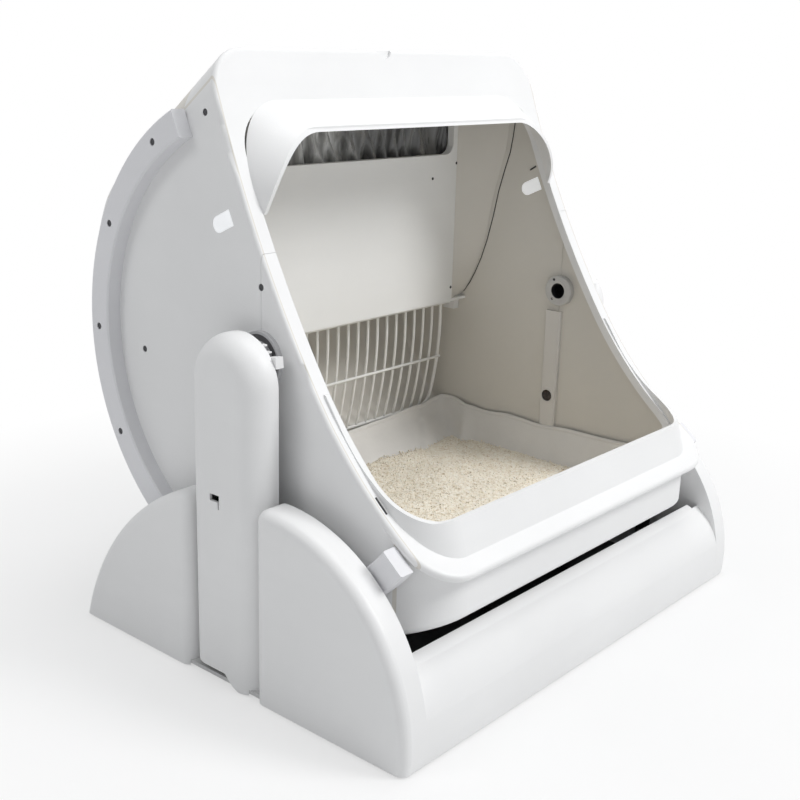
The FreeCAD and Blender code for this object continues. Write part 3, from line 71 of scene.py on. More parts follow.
class Graph:
    """A material's node tree with short calls for adding and linking nodes."""

    def __init__(self, name):
        self.material = bpy.data.materials.new(name)
        self.material.use_nodes = True
        self.tree = self.material.node_tree
        self.shader = self.tree.nodes["Principled BSDF"]
        self.output = self.tree.nodes["Material Output"]
        self.coords = self.tree.nodes.new("ShaderNodeTexCoord").outputs["Object"]

    def add(self, kind, **settings):
        made = self.tree.nodes.new(kind)
        for key, value in settings.items():
            if key in made.inputs:
                made.inputs[key].default_value = value
            else:
                setattr(made, key, value)
        return made

    def link(self, source, target):
        self.tree.links.new(source, target)

    def set(self, **values):
        for key, value in values.items():
            self.shader.inputs[key.replace("_", " ")].default_value = value

    def noise(self, scale, detail=3.0, rough=0.5, vector=None):
        made = self.add("ShaderNodeTexNoise", Scale=scale, Detail=detail, Roughness=rough)
        self.link(vector or self.coords, made.inputs["Vector"])
        return made.outputs["Fac"]

    def cells(self, scale, output="Distance", feature="F1", vector=None):
        made = self.add("ShaderNodeTexVoronoi", Scale=scale, feature=feature)
        self.link(vector or self.coords, made.inputs["Vector"])
        return made.outputs[output]

    def stretched(self, scale):
        made = self.add("ShaderNodeMapping", Scale=scale)
        self.link(self.coords, made.inputs["Vector"])
        return made.outputs["Vector"]

    def ramp(self, source, stops):
        made = self.add("ShaderNodeValToRGB")
        elements = made.color_ramp.elements
        while len(elements) < len(stops):
            elements.new(0.5)
        for element, (place, colour) in zip(elements, stops):
            element.position = place
            element.color = (*colour, 1) if len(colour) == 3 else colour
        self.link(source, made.inputs["Fac"])
        return made.outputs["Color"]

    def span(self, source, low, high, start=0.3, end=0.7):
        made = self.add("ShaderNodeMapRange")
        for name, value in (("From Min", start), ("From Max", end), ("To Min", low), ("To Max", high)):
            made.inputs[name].default_value = value
        self.link(source, made.inputs["Value"])
        return made.outputs["Result"]

    def mix(self, factor, one, two, blend="MIX"):
        made = self.add("ShaderNodeMix", data_type="RGBA", blend_type=blend)
        if isinstance(factor, float):
            made.inputs["Factor"].default_value = factor
        else:
            self.link(factor, made.inputs["Factor"])
        for slot, value in ((6, one), (7, two)):
            if isinstance(value, tuple):
                made.inputs[slot].default_value = (*value, 1)
            else:
                self.link(value, made.inputs[slot])
        return made.outputs[2]

    def math(self, operation, first, second=0.0):
        made = self.add("ShaderNodeMath", operation=operation)
        for slot, value in enumerate((first, second)):
            if isinstance(value, float):
                made.inputs[slot].default_value = value
            else:
                self.link(value, made.inputs[slot])
        return made.outputs[0]

    def vector(self, operation, first, second=(0, 0, 0), output="Vector"):
        made = self.add("ShaderNodeVectorMath", operation=operation)
        self.link(first, made.inputs[0])
        made.inputs[1].default_value = second
        return made.outputs[output]

    def part(self, axis, source=None):
        """One coordinate of a point or a direction."""
        parts = self.add("ShaderNodeSeparateXYZ")
        self.link(source or self.coords, parts.inputs[0])
        return parts.outputs[axis]

    def across(self):
        """Distance from the middle plane."""
        return self.math("ABSOLUTE", self.part("X"))

    def around(self):
        """Distance from the drum's pivot line."""
        away = self.vector("SUBTRACT", self.coords, (0, PIVOT_Y, PIVOT_Z))
        return self.vector("LENGTH", self.vector("MULTIPLY", away, (0, 1, 1)), output="Value")

    def below(self, source, limit):
        return self.math("LESS_THAN", source, limit)

    def above(self, source, limit):
        return self.math("GREATER_THAN", source, limit)

    def both(self, one, two):
        return self.math("MULTIPLY", one, two)

    def either(self, one, two):
        return self.math("MAXIMUM", one, two)

    def bump(self, height, distance, strength=1.0, below=None):
        made = self.add("ShaderNodeBump", Strength=strength, Distance=distance)
        self.link(height, made.inputs["Height"])
        if below:
            self.link(below, made.inputs["Normal"])
        return made.outputs["Normal"]

    def finish(self, colour=None, rough=None, normal=None):
        for name, source in (("Base Color", colour), ("Roughness", rough), ("Normal", normal)):
            if source:
                self.link(source, self.shader.inputs[name])
        return self.material


def shade(colour, factor):
    return tuple(min(1, part * factor) for part in colour)


def cabin_painted_shade_zone(graph):
    """The side walls that look into the cabin, and the rear wall behind the grille, where a darker warm
    tone is painted in as the cabin's shade and the litter's warm bounce light.
    """
    across = graph.across()
    within = graph.both(graph.below(across, WALL_TO), graph.below(graph.around(), CABIN_RADIUS))
    wall = graph.both(graph.above(across, WALL_FROM), graph.above(graph.part("Z"), CABIN_LOW))
    return graph.both(within, graph.either(wall, graph.above(graph.part("Y"), REAR_FROM)))


def in_bore(graph):
    return graph.below(graph.around(), FLANGE_BORE)


def on_hub_face(graph):
    """The dark face of the hub's disc inside its light rim, and the tube's bore."""
    around = graph.around()
    off_middle = graph.math("ABSOLUTE", graph.math("SUBTRACT", around, HUB_FACE_MIDDLE))
    return graph.either(graph.below(off_middle, HUB_FACE_HALF), graph.below(around, HUB_BORE))


def under_towers(graph):
    return graph.above(graph.across(), TOWER_FROM)


def moulded(name, colour, rough=0.42, spread=0.03, grain=0.00006, coat=0.0, zone=None, second=(1, 1, 1)):
    """Injection-moulded plastic: cloudy tone, faint flow lines, spark-eroded grain and uneven gloss.

    A second colour may take over in one zone of the piece.
    """
    graph = Graph(name)
    tones = [(0.3, shade(colour, 1 - spread)), (0.7, shade(colour, 1 + spread))]
    cloud = graph.ramp(graph.noise(7, 4), tones)
    flow = graph.noise(5, 2, vector=graph.stretched((1, 1, 9)))
    tone = graph.mix(graph.span(flow, 0.0, 0.5), cloud, shade(colour, 1 - spread * 0.8))
    speck = graph.noise(900, 2)
    tone = graph.mix(graph.span(speck, 0.0, 0.25), tone, shade(colour, 1 - spread))
    if zone:
        other = graph.mix(graph.span(speck, 0.0, 0.6), second, shade(second, 1 - spread))
        tone = graph.mix(zone(graph), tone, other)
    pits = graph.cells(1100)
    swell = graph.noise(16, 2)
    normal = graph.bump(swell, 0.0004, 0.5)
    normal = graph.bump(pits, grain, 0.6, normal)
    normal = graph.bump(speck, grain, 0.5, normal)
    graph.set(Coat_Weight=coat, Coat_Roughness=0.3)
    gloss = graph.span(graph.noise(40, 3), rough - 0.05, rough + 0.06)
    return graph.finish(tone, gloss, normal)


def metal(name, colour, rough=0.3, along=(4, 400, 400)):
    """Steel with drawn or turned marks, darker in its scratches."""
    graph = Graph(name)
    marks = graph.noise(6, 4, vector=graph.stretched(along))
    tone = graph.ramp(marks, [(0.3, shade(colour, 0.8)), (0.7, shade(colour, 1.1))])
    graph.set(Metallic=1.0)
    gloss = graph.span(marks, rough - 0.08, rough + 0.12)
    return graph.finish(tone, gloss, graph.bump(marks, 0.00004, 0.5))


def coated_wire():
    """Wire under a thick white powder coat, with its soft orange-peel ripple."""
    graph = Graph("coated_wire")
    tone = graph.ramp(graph.noise(60, 3), [(0.3, (0.84, 0.84, 0.82)), (0.7, (0.92, 0.92, 0.90))])
    peel = graph.noise(420, 2)
    graph.set(Coat_Weight=0.4, Coat_Roughness=0.2)
    return graph.finish(tone, graph.span(peel, 0.28, 0.4), graph.bump(peel, 0.00012, 0.5))


def woven(name, colour):
    """Thick coated cloth: two crossed thread waves, slubs, and long soft creases."""
    graph = Graph(name)
    threads = []
    for turn in ((1, 0, 0.35), (0, 1, 0.35)):
        along = graph.vector("DOT_PRODUCT", graph.coords, turn, output="Value")
        threads.append(graph.math("SINE", graph.math("MULTIPLY", along, 3800.0)))
    weave = graph.span(graph.both(*threads), 0.0, 1.0, -1.0, 1.0)
    cloud = graph.ramp(graph.noise(14, 5), [(0.3, shade(colour, 0.9)), (0.7, shade(colour, 1.06))])
    tone = graph.mix(weave, cloud, shade(colour, 0.86))
    slub = graph.noise(260, 3)
    normal = graph.bump(graph.noise(38, 4), 0.004, 0.35)
    normal = graph.bump(slub, 0.0003, 0.5, normal)
    normal = graph.bump(weave, 0.00025, 0.7, normal)
    graph.set(Sheen_Weight=0.25, Sheen_Roughness=0.5)
    return graph.finish(tone, graph.span(slub, 0.66, 0.85), normal)


def grains():
    """Pale mineral granules, each with its own tone, chalky and dusty."""
    graph = Graph("litter_grains")
    tint = graph.cells(480, "Color")
    value = graph.add("ShaderNodeSeparateColor")
    graph.link(tint, value.inputs["Color"])
    stops = [(0.0, (0.60, 0.48, 0.34)), (0.1, (0.80, 0.71, 0.56)),
             (0.5, (0.90, 0.83, 0.70)), (1.0, (0.95, 0.91, 0.82))]
    tone = graph.ramp(value.outputs["Red"], stops)
    dust = graph.noise(45, 3)
    tone = graph.mix(graph.span(dust, 0.0, 0.3), tone, (0.93, 0.88, 0.78))
    normal = graph.bump(graph.cells(430), 0.0012, 0.9)
    normal = graph.bump(graph.noise(2200, 3), 0.0003, 0.6, normal)
    return graph.finish(tone, graph.span(dust, 0.8, 0.95), normal)


def film():
    """Thin glossy film in long soft folds with a few sharp creases. Its colour carries painted highlights
    on the fold crests, painted shade in the valleys, and painted shade towards its right side.
    """
    graph = Graph("bag_film")
    creases = graph.noise(70, 3, 0.5, graph.stretched((1, 1, 0.12)))
    # Painted highlights on the fold crests and painted shade in the valleys
    tone = graph.ramp(creases, [(0.36, (0.20, 0.20, 0.195)), (0.66, (0.86, 0.86, 0.84))])
    # Painted shade towards the film's right side
    side = graph.span(graph.part("X"), 0.0, 0.85, 0.0, 0.06)
    tone = graph.mix(side, tone, (0.10, 0.10, 0.098))
    sharp = graph.cells(38, "Distance", "DISTANCE_TO_EDGE", graph.stretched((1, 1, 0.16)))
    normal = graph.bump(creases, 0.0012, 0.5)
    normal = graph.bump(sharp, 0.002, 0.35, normal)
    graph.set(Transmission_Weight=0.15, IOR=1.3, Coat_Weight=0.8, Coat_Roughness=0.14)
    return graph.finish(tone, graph.span(creases, 0.16, 0.36), normal)


def pane():
    """Milky window plastic with faint moulding swirls, made to glow as painted light so that it shows
    bright against the wall.
    """
    graph = Graph("window_pane")
    swirl = graph.noise(60, 4, 0.6)
    tone = graph.ramp(swirl, [(0.3, (0.88, 0.89, 0.90)), (0.7, (0.96, 0.97, 0.98))])
    # Painted light: the pane glows, though it is no lamp
    graph.set(Emission_Color=(0.95, 0.97, 1.0, 1), Emission_Strength=0.28)
    graph.set(Coat_Weight=0.5, Coat_Roughness=0.1)
    return graph.finish(tone, graph.span(swirl, 0.18, 0.28), graph.bump(swirl, 0.0002, 0.4))


def board():
    """Lacquered circuit board: copper tracks under green lacquer, with pale solder pads."""
    graph = Graph("board_green")
    bricks = graph.add("ShaderNodeTexBrick", Scale=60, offset=0.37)
    bricks.inputs["Mortar Size"].default_value = 0.035
    mapping = graph.add("ShaderNodeMapping", Rotation=(0, math.radians(90), 0))
    graph.link(graph.coords, mapping.inputs["Vector"])
    graph.link(mapping.outputs["Vector"], bricks.inputs["Vector"])
    lacquer = graph.ramp(graph.noise(50, 2), [(0.3, (0.012, 0.11, 0.045)), (0.7, (0.02, 0.16, 0.07))])
    tone = graph.mix(bricks.outputs["Fac"], lacquer, (0.05, 0.30, 0.12))
    dots = graph.span(graph.cells(240), 1.0, 0.0, 0.12, 0.2)
    tone = graph.mix(dots, tone, (0.6, 0.6, 0.58))
    graph.set(Coat_Weight=0.7, Coat_Roughness=0.1)
    return graph.finish(tone, graph.span(dots, 0.4, 0.25), graph.bump(dots, 0.0003, 0.5))


def rubber():
    graph = Graph("black_rubber")
    dust = graph.noise(30, 4)
    tone = graph.ramp(dust, [(0.35, (0.018, 0.018, 0.018)), (0.75, (0.055, 0.053, 0.05))])
    return graph.finish(tone, graph.span(dust, 0.7, 0.9), graph.bump(graph.noise(700, 3), 0.0003, 0.7))


def lens():
    graph = Graph("lens_dark")
    ring = graph.noise(300, 2)
    tone = graph.ramp(ring, [(0.3, (0.012, 0.009, 0.008)), (0.7, (0.05, 0.035, 0.03))])
    graph.set(Coat_Weight=0.3, Coat_Roughness=0.1, IOR=1.4)
    return graph.finish(tone, graph.span(ring, 0.08, 0.2), graph.bump(ring, 0.00005, 0.3))


WHITE = (0.82, 0.82, 0.82)
# Painted shade: this darker, warmer tone on the cabin's inner walls and the wings stands in for the shade
# and the warm bounce light inside the cabin
CABIN_PAINTED_SHADE = (0.70, 0.675, 0.625)
BLACK = (0.022, 0.022, 0.024)
FINISHES = {
    "white_shell": moulded("white_shell", WHITE, 0.46),
    "grey_rail": moulded("grey_rail", (0.76, 0.76, 0.78), 0.46),
    # Painted light: the rear panel's light grey is raised above the white shell's tone to stand in for
    # light the lamps don't bring into the cabin
    "panel_grey": moulded("panel_grey", (0.90, 0.90, 0.885), 0.5),
    "inner_grey": moulded("inner_grey", (0.72, 0.70, 0.67), 0.45),
    "dark_plastic": moulded("dark_plastic", BLACK, 0.5, 0.2),
    # Painted shade: the screw steel is made very dark to stand for the dark recesses the screws sit in
    "screw_steel": metal("screw_steel", (0.09, 0.09, 0.095), 0.38, (300, 300, 300)),
    "coated_wire": coated_wire(),
    "black_rubber": rubber(),
    "roller_plastic": moulded("roller_plastic", (0.66, 0.66, 0.64), 0.25, 0.03, 0.00002, 0.2),
    "gear_plastic": moulded("gear_plastic", (0.76, 0.73, 0.64), 0.3, 0.04, 0.00002, 0.2),
    "board_green": board(),
    "bag_film": film(),
    "liner_fabric": woven("liner_fabric", (0.84, 0.82, 0.785)),
    "litter_grains": grains(),
    "window_pane": pane(),
    "lens_dark": lens(),
}
# The shell is white outside, with the painted cabin shade on its inner walls
shell = moulded("shell_and_painted_cabin_shade", WHITE, 0.46, zone=cabin_painted_shade_zone, second=CABIN_PAINTED_SHADE)
hub = moulded("hub_plastic", (0.55, 0.55, 0.56), 0.42, zone=on_hub_face, second=(0.10, 0.10, 0.105))
boss = moulded("boss_plastic", (0.56, 0.555, 0.545), 0.42, zone=in_bore, second=BLACK)
tray = moulded("tray_plastic", BLACK, 0.5, 0.2, zone=under_towers, second=(0.6, 0.6, 0.6))
OWN_FINISH = {
    "drum_rear_shell": shell,
    "drum_front_shell": shell,
    # The wings are coloured wholly in the painted cabin shade
    "panel_wings": moulded("wing_plastic", CABIN_PAINTED_SHADE, 0.46),
    "base_tray": tray,
}
for entry in frame["record"]["subparts"]:
    target = nodes[entry["node"]]
    target.data.materials.clear()
    target.data.materials.append(OWN_FINISH.get(entry["node"], FINISHES[entry["material_slot"]]))


# Making pieces

def add_object(name, data):
    made = bpy.data.objects.new(name, data)
    bpy.context.scene.collection.objects.link(made)
    return made


def piece(name, mesh, slot, body, replaced=(), smooth=True, finish=None):
    """A mesh object with one finish that rides on a body and may stand for CAD nodes."""
    made = add_object(name, mesh)
    mesh.materials.append(finish or FINISHES[slot])
    if smooth:
        mesh.shade_smooth()
    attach(made, body)
    if replaced:
        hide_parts(*replaced)
    return made


def surface_of(node):
    """The node's surface, for casting rays at."""
    mesh = nodes[node].data
    return BVHTree.FromPolygons([v.co for v in mesh.vertices], [p.vertices for p in mesh.polygons])


def loft(rows):
    """A mesh over rows of points of equal length, each of which runs round."""
    form = bmesh.new()
    made = [[form.verts.new(point) for point in row] for row in rows]
    count = len(rows[0])
    for upper, lower in zip(made, made[1:]):
        for i in range(count):
            j = (i + 1) % count
            form.faces.new((upper[i], upper[j], lower[j], lower[i]))
    return form, made


def done(form, name):
    bmesh.ops.recalc_face_normals(form, faces=form.faces)
    mesh = bpy.data.meshes.new(name)
    form.to_mesh(mesh)
    form.free()
    return mesh


def capped(name, rows):
    """A closed mesh over rows of points, with a flat face on the first and the last row."""
    form, made = loft(rows)
    form.faces.new(made[0])
    form.faces.new(list(reversed(made[-1])))
    return done(form, name)


def turned(profile, centre, along, count=48):
    """Rows of a turned form from pairs of radius and height in millimetres."""
    first = Vector((0, 0, 1))
    third = along.cross(first).normalized()
    first = third.cross(along)
    angles = [2 * math.pi * i / count for i in range(count)]
    spokes = [first * math.cos(angle) + third * math.sin(angle) for angle in angles]
    rows = []
    for radius, height in profile:
        middle = centre + along * height * 0.001
        rows.append([middle + spoke * radius * 0.001 for spoke in spokes])
    return rows


def turned_ring(name, profile, centre, along):
    """A ring: the last point of the profile joins the first."""
    rows = turned(profile, centre, along)
    form = loft(rows + [rows[0]])[0]
    bmesh.ops.remove_doubles(form, verts=form.verts, dist=1e-7)
    return done(form, name)


def turned_disc(name, profile, centre, along):
    """A solid form, closed flat at both ends."""
    return capped(name, turned(profile, centre, along))


def sharp(made, degrees=32):
    """Smooth shading that keeps the turned edges."""
    made.data.shade_smooth()
    made.data.set_sharp_from_angle(angle=math.radians(degrees))
    return made


# Liner: a thick soft sheet that lines the bowl, leans in below its hem and stands up in both rear corners

BOWL_CENTRE = at(0, -8, 150)
SHEET_THICK = 0.0026
SHEET_FLOOR = 0.0655
HEM_RADIUS = 0.0021
CAST_LIMIT = 0.1464

# The hem's height in millimetres at a number of degrees from the front
LINER_RIM = [
    (0, 150), (50, 150.6), (67, 150.6), (75, 149.3), (84, 149), (96, 146), (107, 148), (114.5, 144.6),
    (120, 147.2), (124.5, 152.6), (129, 151.6), (133, 147.4), (147, 142.6), (163, 140.6), (180, 141.4),
]
liner_surface = surface_of("liner")


def outward(turn):
    return Vector((math.sin(turn), -math.cos(turn), 0))


def side_turn(turn):
    """Degrees from the front to the rear, the same on both sides."""
    degrees = math.degrees(turn) % 360
    return min(degrees, 360 - degrees)


def swell(distance, width):
    return math.exp(-(distance / width) ** 2)


def rim_height(turn):
    """The liner's free edge, with the waves and corner humps of a sheet that was pushed into place."""
    place = side_turn(turn)
    for (start, low), (end, high) in zip(LINER_RIM, LINER_RIM[1:]):
        if place <= end:
            share = (place - start) / (end - start)
            share = share * share * (3 - 2 * share)
            break
    wave = noise.noise(Vector((math.sin(turn) * 4, math.cos(turn) * 4, 3.1)))
    return (low + (high - low) * share + wave) * 0.001


def sheet_inset(turn, height):
    """How far the sheet leans in from the bowl's lining, with the pleats beside each rear corner."""
    place = side_turn(turn)
    depth = max(0, rim_height(turn) - height)
    behind = min(1, max(0, (place - 40) / 40))
    lean = depth * (0.2 + 0.3 * behind + 0.42 * swell(place - 127, 13))
    pleats = 0.010 * swell(place - 120.5, 1.6) - 0.006 * swell(place - 125, 2.6)
    pleats += 0.0085 * swell(place - 132, 1.5)
    ripple = 0.003 * noise.noise(Vector((math.sin(turn) * 6, math.cos(turn) * 6, height * 14)))
    return max(0.0, lean + pleats * min(1, 0.3 + depth * 34) + ripple * min(1, depth * 60) + 0.002)


def sheet_point(turn, height, offset):
    start = Vector((BOWL_CENTRE.x, BOWL_CENTRE.y, min(height, CAST_LIMIT)))
    reach = liner_surface.ray_cast(start, outward(turn))[3]
    point = BOWL_CENTRE + outward(turn) * (reach - sheet_inset(turn, height) + offset)
    point.z = height
    return point


def sheet_row(columns, share, offset, lift=0.0):
    """One closed line of the sheet: share 1 is the hem and 0 the foot of its wall."""
    row = []
    for i in range(columns):
        turn = 2 * math.pi * i / columns
        height = SHEET_FLOOR + (rim_height(turn) - SHEET_FLOOR) * share + lift
        row.append(sheet_point(turn, height, offset))
    return row


def liner_mesh():
    """The outer skin up to the hem, the round hem, and the inner skin down to the floor."""
    columns = 420
    shares = [0, 0.12, 0.25, 0.4, 0.52, 0.62, 0.7, 0.77, 0.83, 0.88, 0.92, 0.955]
    rows = [sheet_row(columns, share, SHEET_THICK) for share in shares]
    for angle in range(-60, 241, 30):
        out = SHEET_THICK / 2 + HEM_RADIUS * math.cos(math.radians(angle))
        lift = HEM_RADIUS * (math.sin(math.radians(angle)) - 0.4)
        rows.append(sheet_row(columns, 1, out, lift))
    rows += [sheet_row(columns, share, 0) for share in reversed(shares)]
    return capped("liner_sheet", rows)


# Round wire

def tube(name, paths, radius, slot, body, replaced=()):
    """Round wires along paths, as one mesh."""
    curve = bpy.data.curves.new(name, "CURVE")
    curve.dimensions = "3D"
    curve.bevel_depth = radius
    curve.bevel_resolution = 3
    curve.use_fill_caps = True
    for path in paths:
        spline = curve.splines.new("POLY")
        spline.points.add(len(path) - 1)
        for point, place in zip(spline.points, path):
            point.co = (*place, 1)
    holder = bpy.data.objects.new(name + "_curve", curve)
    mesh = bpy.data.meshes.new_from_object(holder)
    mesh.name = name
    bpy.data.objects.remove(holder)
    return piece(name, mesh, slot, body, replaced)


# Litter: a heap with a soft uneven top that is itself grainy, and loose granules over it

LITTER_TOP = 0.1125
LITTER_GAP = 0.0004
LITTER_LEVELS = (SHEET_FLOOR + 0.001, 0.07, 0.078, 0.086)
MOUNDS = ((7, 0.0055), (19, 0.0028), (60, 0.0012))


def heap_height(spot, edge):
    """The litter's surface: broad mounds, scoop marks, and single grains."""
    mound = sum(noise.noise(spot * often) * high for often, high in MOUNDS)
    distances = noise.voronoi(spot * 390, distance_metric="DISTANCE")[0]
    grain = max(0.0, 0.55 - distances[0]) * 0.0022
    return LITTER_TOP + mound * (1 - 0.5 * edge) + grain - 0.003 * edge ** 2


def litter_mesh():
    """Rings of points from the sheet's wall to the middle, closed below."""
    columns, rings = ((900, 150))
    turns = [2 * math.pi * i / columns for i in range(columns)]
    walls = [sheet_point(turn, LITTER_TOP, -LITTER_GAP) for turn in turns]
    centre = Vector((BOWL_CENTRE.x, BOWL_CENTRE.y, LITTER_TOP))
    rows = []
    for k in range(rings):
        share = 1 - k / rings
        row = []
        for wall in walls:
            spot = centre.lerp(wall, share)
            spot.z = heap_height(spot, max(0.0, (share - 0.9) * 10))
            row.append(spot)
        rows.append(row)
    lows = [[sheet_point(turn, level, -LITTER_GAP) for turn in turns] for level in LITTER_LEVELS]
    return capped("litter_heap", lows + rows)


def granules_mesh(count):
    """Loose granules of 1.5 to 3 mm that lie half sunk on the heap, each a dented twenty-sided lump."""
    lump = bmesh.new()
    bmesh.ops.create_icosphere(lump, subdivisions=1, radius=1)
    corners = [v.co.copy() for v in lump.verts]
    sides = [[v.index for v in face.verts] for face in lump.faces]
    lump.free()
    centre = Vector((BOWL_CENTRE.x, BOWL_CENTRE.y, LITTER_TOP))
    walls = [sheet_point(math.radians(degree), LITTER_TOP, -0.003) for degree in range(360)]
    points, faces = [], []
    for _ in range(count):
        spot = centre.lerp(random.choice(walls), math.sqrt(random.random()))
        size = random.uniform(0.0007, 0.0014)
        spot.z = heap_height(spot, 0.0) + size * 0.2
        stretch = Matrix.Diagonal((size * random.uniform(0.9, 1.7), size, size * random.uniform(0.7, 1.1)))
        turn = Matrix.Rotation(random.uniform(0, 6.3), 3, Vector((random.random(), random.random(), 1)))
        shape = turn @ stretch
        first = len(points)
        points += [spot + shape @ corner * random.uniform(0.75, 1.1) for corner in corners]
        faces += [[first + index for index in side] for side in sides]
    mesh = bpy.data.meshes.new("litter_granules")
    mesh.from_pydata(points, [], faces)
    return mesh


liner = piece("liner_sheet", liner_mesh(), "liner_fabric", "drum", ["liner"])
piece("litter_heap", litter_mesh(), "litter_grains", "drum", ["litter"])
loose = granules_mesh(5000)
piece("litter_granules", loose, "litter_grains", "drum", smooth=False)


# Wire grille: its curved bars as round wire

BEND_Y, BEND_Z, BEND_RADIUS = 608, 266, 440
GRILLE_TOP = (168, 284)
GRILLE_LOW = 142
BAR_PITCH = 17.6
BAR_COUNT = 24
BAR_STEPS = 14
BAR_RADIUS = 0.0018


def on_bend(z):
    """The grille's surface at a height in millimetres."""
    turn = math.asin((z - BEND_Z) / BEND_RADIUS)
    return BEND_Y - BEND_RADIUS * math.cos(turn), z


def bar(x):
    """One bar from the hinge rod down along the bend."""
    heights = [BEND_Z - (BEND_Z - GRILLE_LOW) * k / BAR_STEPS for k in range(BAR_STEPS + 1)]
    return [at(x, *GRILLE_TOP)] + [at(x, *on_bend(z)) for z in heights]


bars = [bar((number - (BAR_COUNT - 1) / 2) * BAR_PITCH) for number in range(BAR_COUNT)]
tube("round_bars", bars, BAR_RADIUS, "coated_wire", "grille", ["grille_bars"])

# Turned pieces: hubs, flanges round the axle's mouth, screws and sensor, as pairs of radius and height

WALL_X, HUB_X = 246.6, 250
FLANGE_FACE = 8.2
LEFTWARD, FORWARD = Vector((-1, 0, 0)), Vector((0, -1, 0))
HUB_PROFILE = [
    (15, -11), (15, 33), (18, 33), (18, 4.4), (24.4, 4.4), (24.6, 5), (27, 5), (27.6, 4.4), (27.6, 0),
    (18, 0), (18, -11),
]
FLANGE_PROFILE = [
    (9.2, -3), (9.2, 7.6), (10.2, 8.6), (12.6, 8.6), (13, FLANGE_FACE), (17.4, FLANGE_FACE), (18.6, 7),
    (18.6, 0), (14, 0), (14, -3),
]
for sign, side in ((-1, "left"), (1, "right")):
    name = side + "_hub_form"
    form = turned_ring(name, HUB_PROFILE, at(sign * HUB_X, 0, AXIS_HEIGHT), Vector((sign, 0, 0)))
    sharp(piece(name, form, "dark_plastic", "drum", [side + "_hub"], finish=hub))
    name = side + "_axle_flange"
    form = turned_ring(name, FLANGE_PROFILE, at(sign * WALL_X, 0, AXIS_HEIGHT), Vector((-sign, 0, 0)))
    sharp(piece(name, form, "inner_grey", "drum", [side + "_hub_boss"], finish=boss))


def screw_heads(name, profile, spots, replaced=()):
    """Turned heads at pairs of place and direction, all in one mesh."""
    joined = bmesh.new()
    for place, along in spots:
        joined.from_mesh(turned_disc(name, profile, place, along))
    sharp(piece(name, done(joined, name), "screw_steel", "drum", replaced))


FLANGE_SCREW = [(1.7, -0.6), (1.7, 0.3), (1.3, 0.5), (0.7, 0.1)]
FLANGE_SPOTS = [(5.98, 13.42), (7.13, -10.34)]
spots = []
for sign in (-1, 1):
    for y, z in FLANGE_SPOTS:
        place = at(sign * (WALL_X - FLANGE_FACE), y, AXIS_HEIGHT + z)
        spots.append((place, Vector((-sign, 0, 0))))
screw_heads("flange_screws", FLANGE_SCREW, spots, ["hub_screws"])

PANEL_Y = 148
PANEL_SCREW = [(1.8, -0.6), (1.8, 0.3), (1.53, 0.5), (1.08, 0.5), (0.72, 0.15)]
PANEL_SPOTS = [(216.3, 466.4), (170.2, 449.7), (214.1, 308.6)]
spots = [(at(sign * x, PANEL_Y, z), FORWARD) for sign in (1, -1) for x, z in PANEL_SPOTS]
screw_heads("panel_screws", PANEL_SCREW, spots)

SENSOR = at(241.6, 8, 187)
BEZEL_PROFILE = [(7.3, 0), (7.3, 0.6), (7.7, 1.1), (8.3, 1.1), (8.8, 0.6), (8.8, 0)]
DOME_PROFILE = [
    (7.25, -0.3), (7.25, 0.3), (6.4, 0.55), (6.0, 0.4), (4.9, 0.8), (4.5, 0.6), (3.2, 1.0), (2.8, 0.8),
    (1.2, 1.1),
]
bezel = turned_ring("sensor_bezel", BEZEL_PROFILE, SENSOR, LEFTWARD)
sharp(piece("sensor_bezel", bezel, "inner_grey", "drum"))
dome = turned_disc("sensor_dome", DOME_PROFILE, SENSOR, LEFTWARD)
sharp(piece("sensor_dome", dome, "lens_dark", "drum", ["sensor_lens"]))

# The gap along each wing's edge, and the shells' snap slots, drawn as thin dark tubes: painted shadow in
# the gaps and painted shade in the slots

GAP_X = 246.2
WING_EDGE = [
    (151, 299), (141, 313), (134, 326), (125, 346), (117, 370), (109, 401), (102, 435), (94.5, 461),
    (87.5, 483), (84.2, 503), (82, 523), (80.6, 540),
]
gaps = [[at(sign * GAP_X, y, z) for y, z in WING_EDGE] for sign in (-1, 1)]
# Painted shadow: a dark tube stands for the shade in the gap beside each wing
tube("wing_gap_painted_shadow", gaps, 0.0006, "dark_plastic", "drum")

FRONT_SLOT_X, FRONT_SLOT = 243.5, (221, 217, 213, 209)
SIDE_SLOT_X, SIDE_SLOT = 246.5, ((56, 464), (52, 466.5), (48, 469))
front = surface_of("drum_front_shell")
slots = []
for sign in (-1, 1):
    starts = [at(sign * FRONT_SLOT_X, -400, z) for z in FRONT_SLOT]
    slots.append([front.ray_cast(start, -FORWARD)[0] for start in starts])
for sign in (-1, 1):
    slots.append([at(sign * SIDE_SLOT_X, y, z) for y, z in SIDE_SLOT])
# Painted shade: dark tubes stand for the shade inside the snap slots
tube("snap_slot_painted_shade", slots, 0.001, "dark_plastic", "drum")

# Waste bag: film with vertical pleats, bulging into its room

BAG_HALF = 209
BAG_LOW, BAG_HIGH = 296, 528
BAG_FRONT, BAG_BACK = 157.5, 262
BAG_RADIUS = 258
BAG_SWELL = 60
FILM_THICK = 0.4

# For each side of the bag's outline: its steps, the way out of the bag, and how deep the pleats go
BAG_SIDES = [(300, (0, -1), 13), (40, (1, 0), 4), (90, (0, 1), 5), (40, (-1, 0), 4)]


def fold(along, z):
    """Crests that wander and slant as they run down the film, from 0 in a valley to 1."""
    warp = noise.noise(Vector((along * 0.010, z * 0.006, 2.0))) * 1.6
    warp += noise.noise(Vector((along * 0.03, z * 0.008, 6.0))) * 0.5
    first = abs(((along * 0.034 + z * 0.007 + warp) % 1) * 2 - 1)
    second = abs(((along * 0.085 - z * 0.009 + warp * 1.7) % 1) * 2 - 1)
    return 0.72 * (1 - first) ** 1.3 + 0.28 * (1 - second) ** 1.2


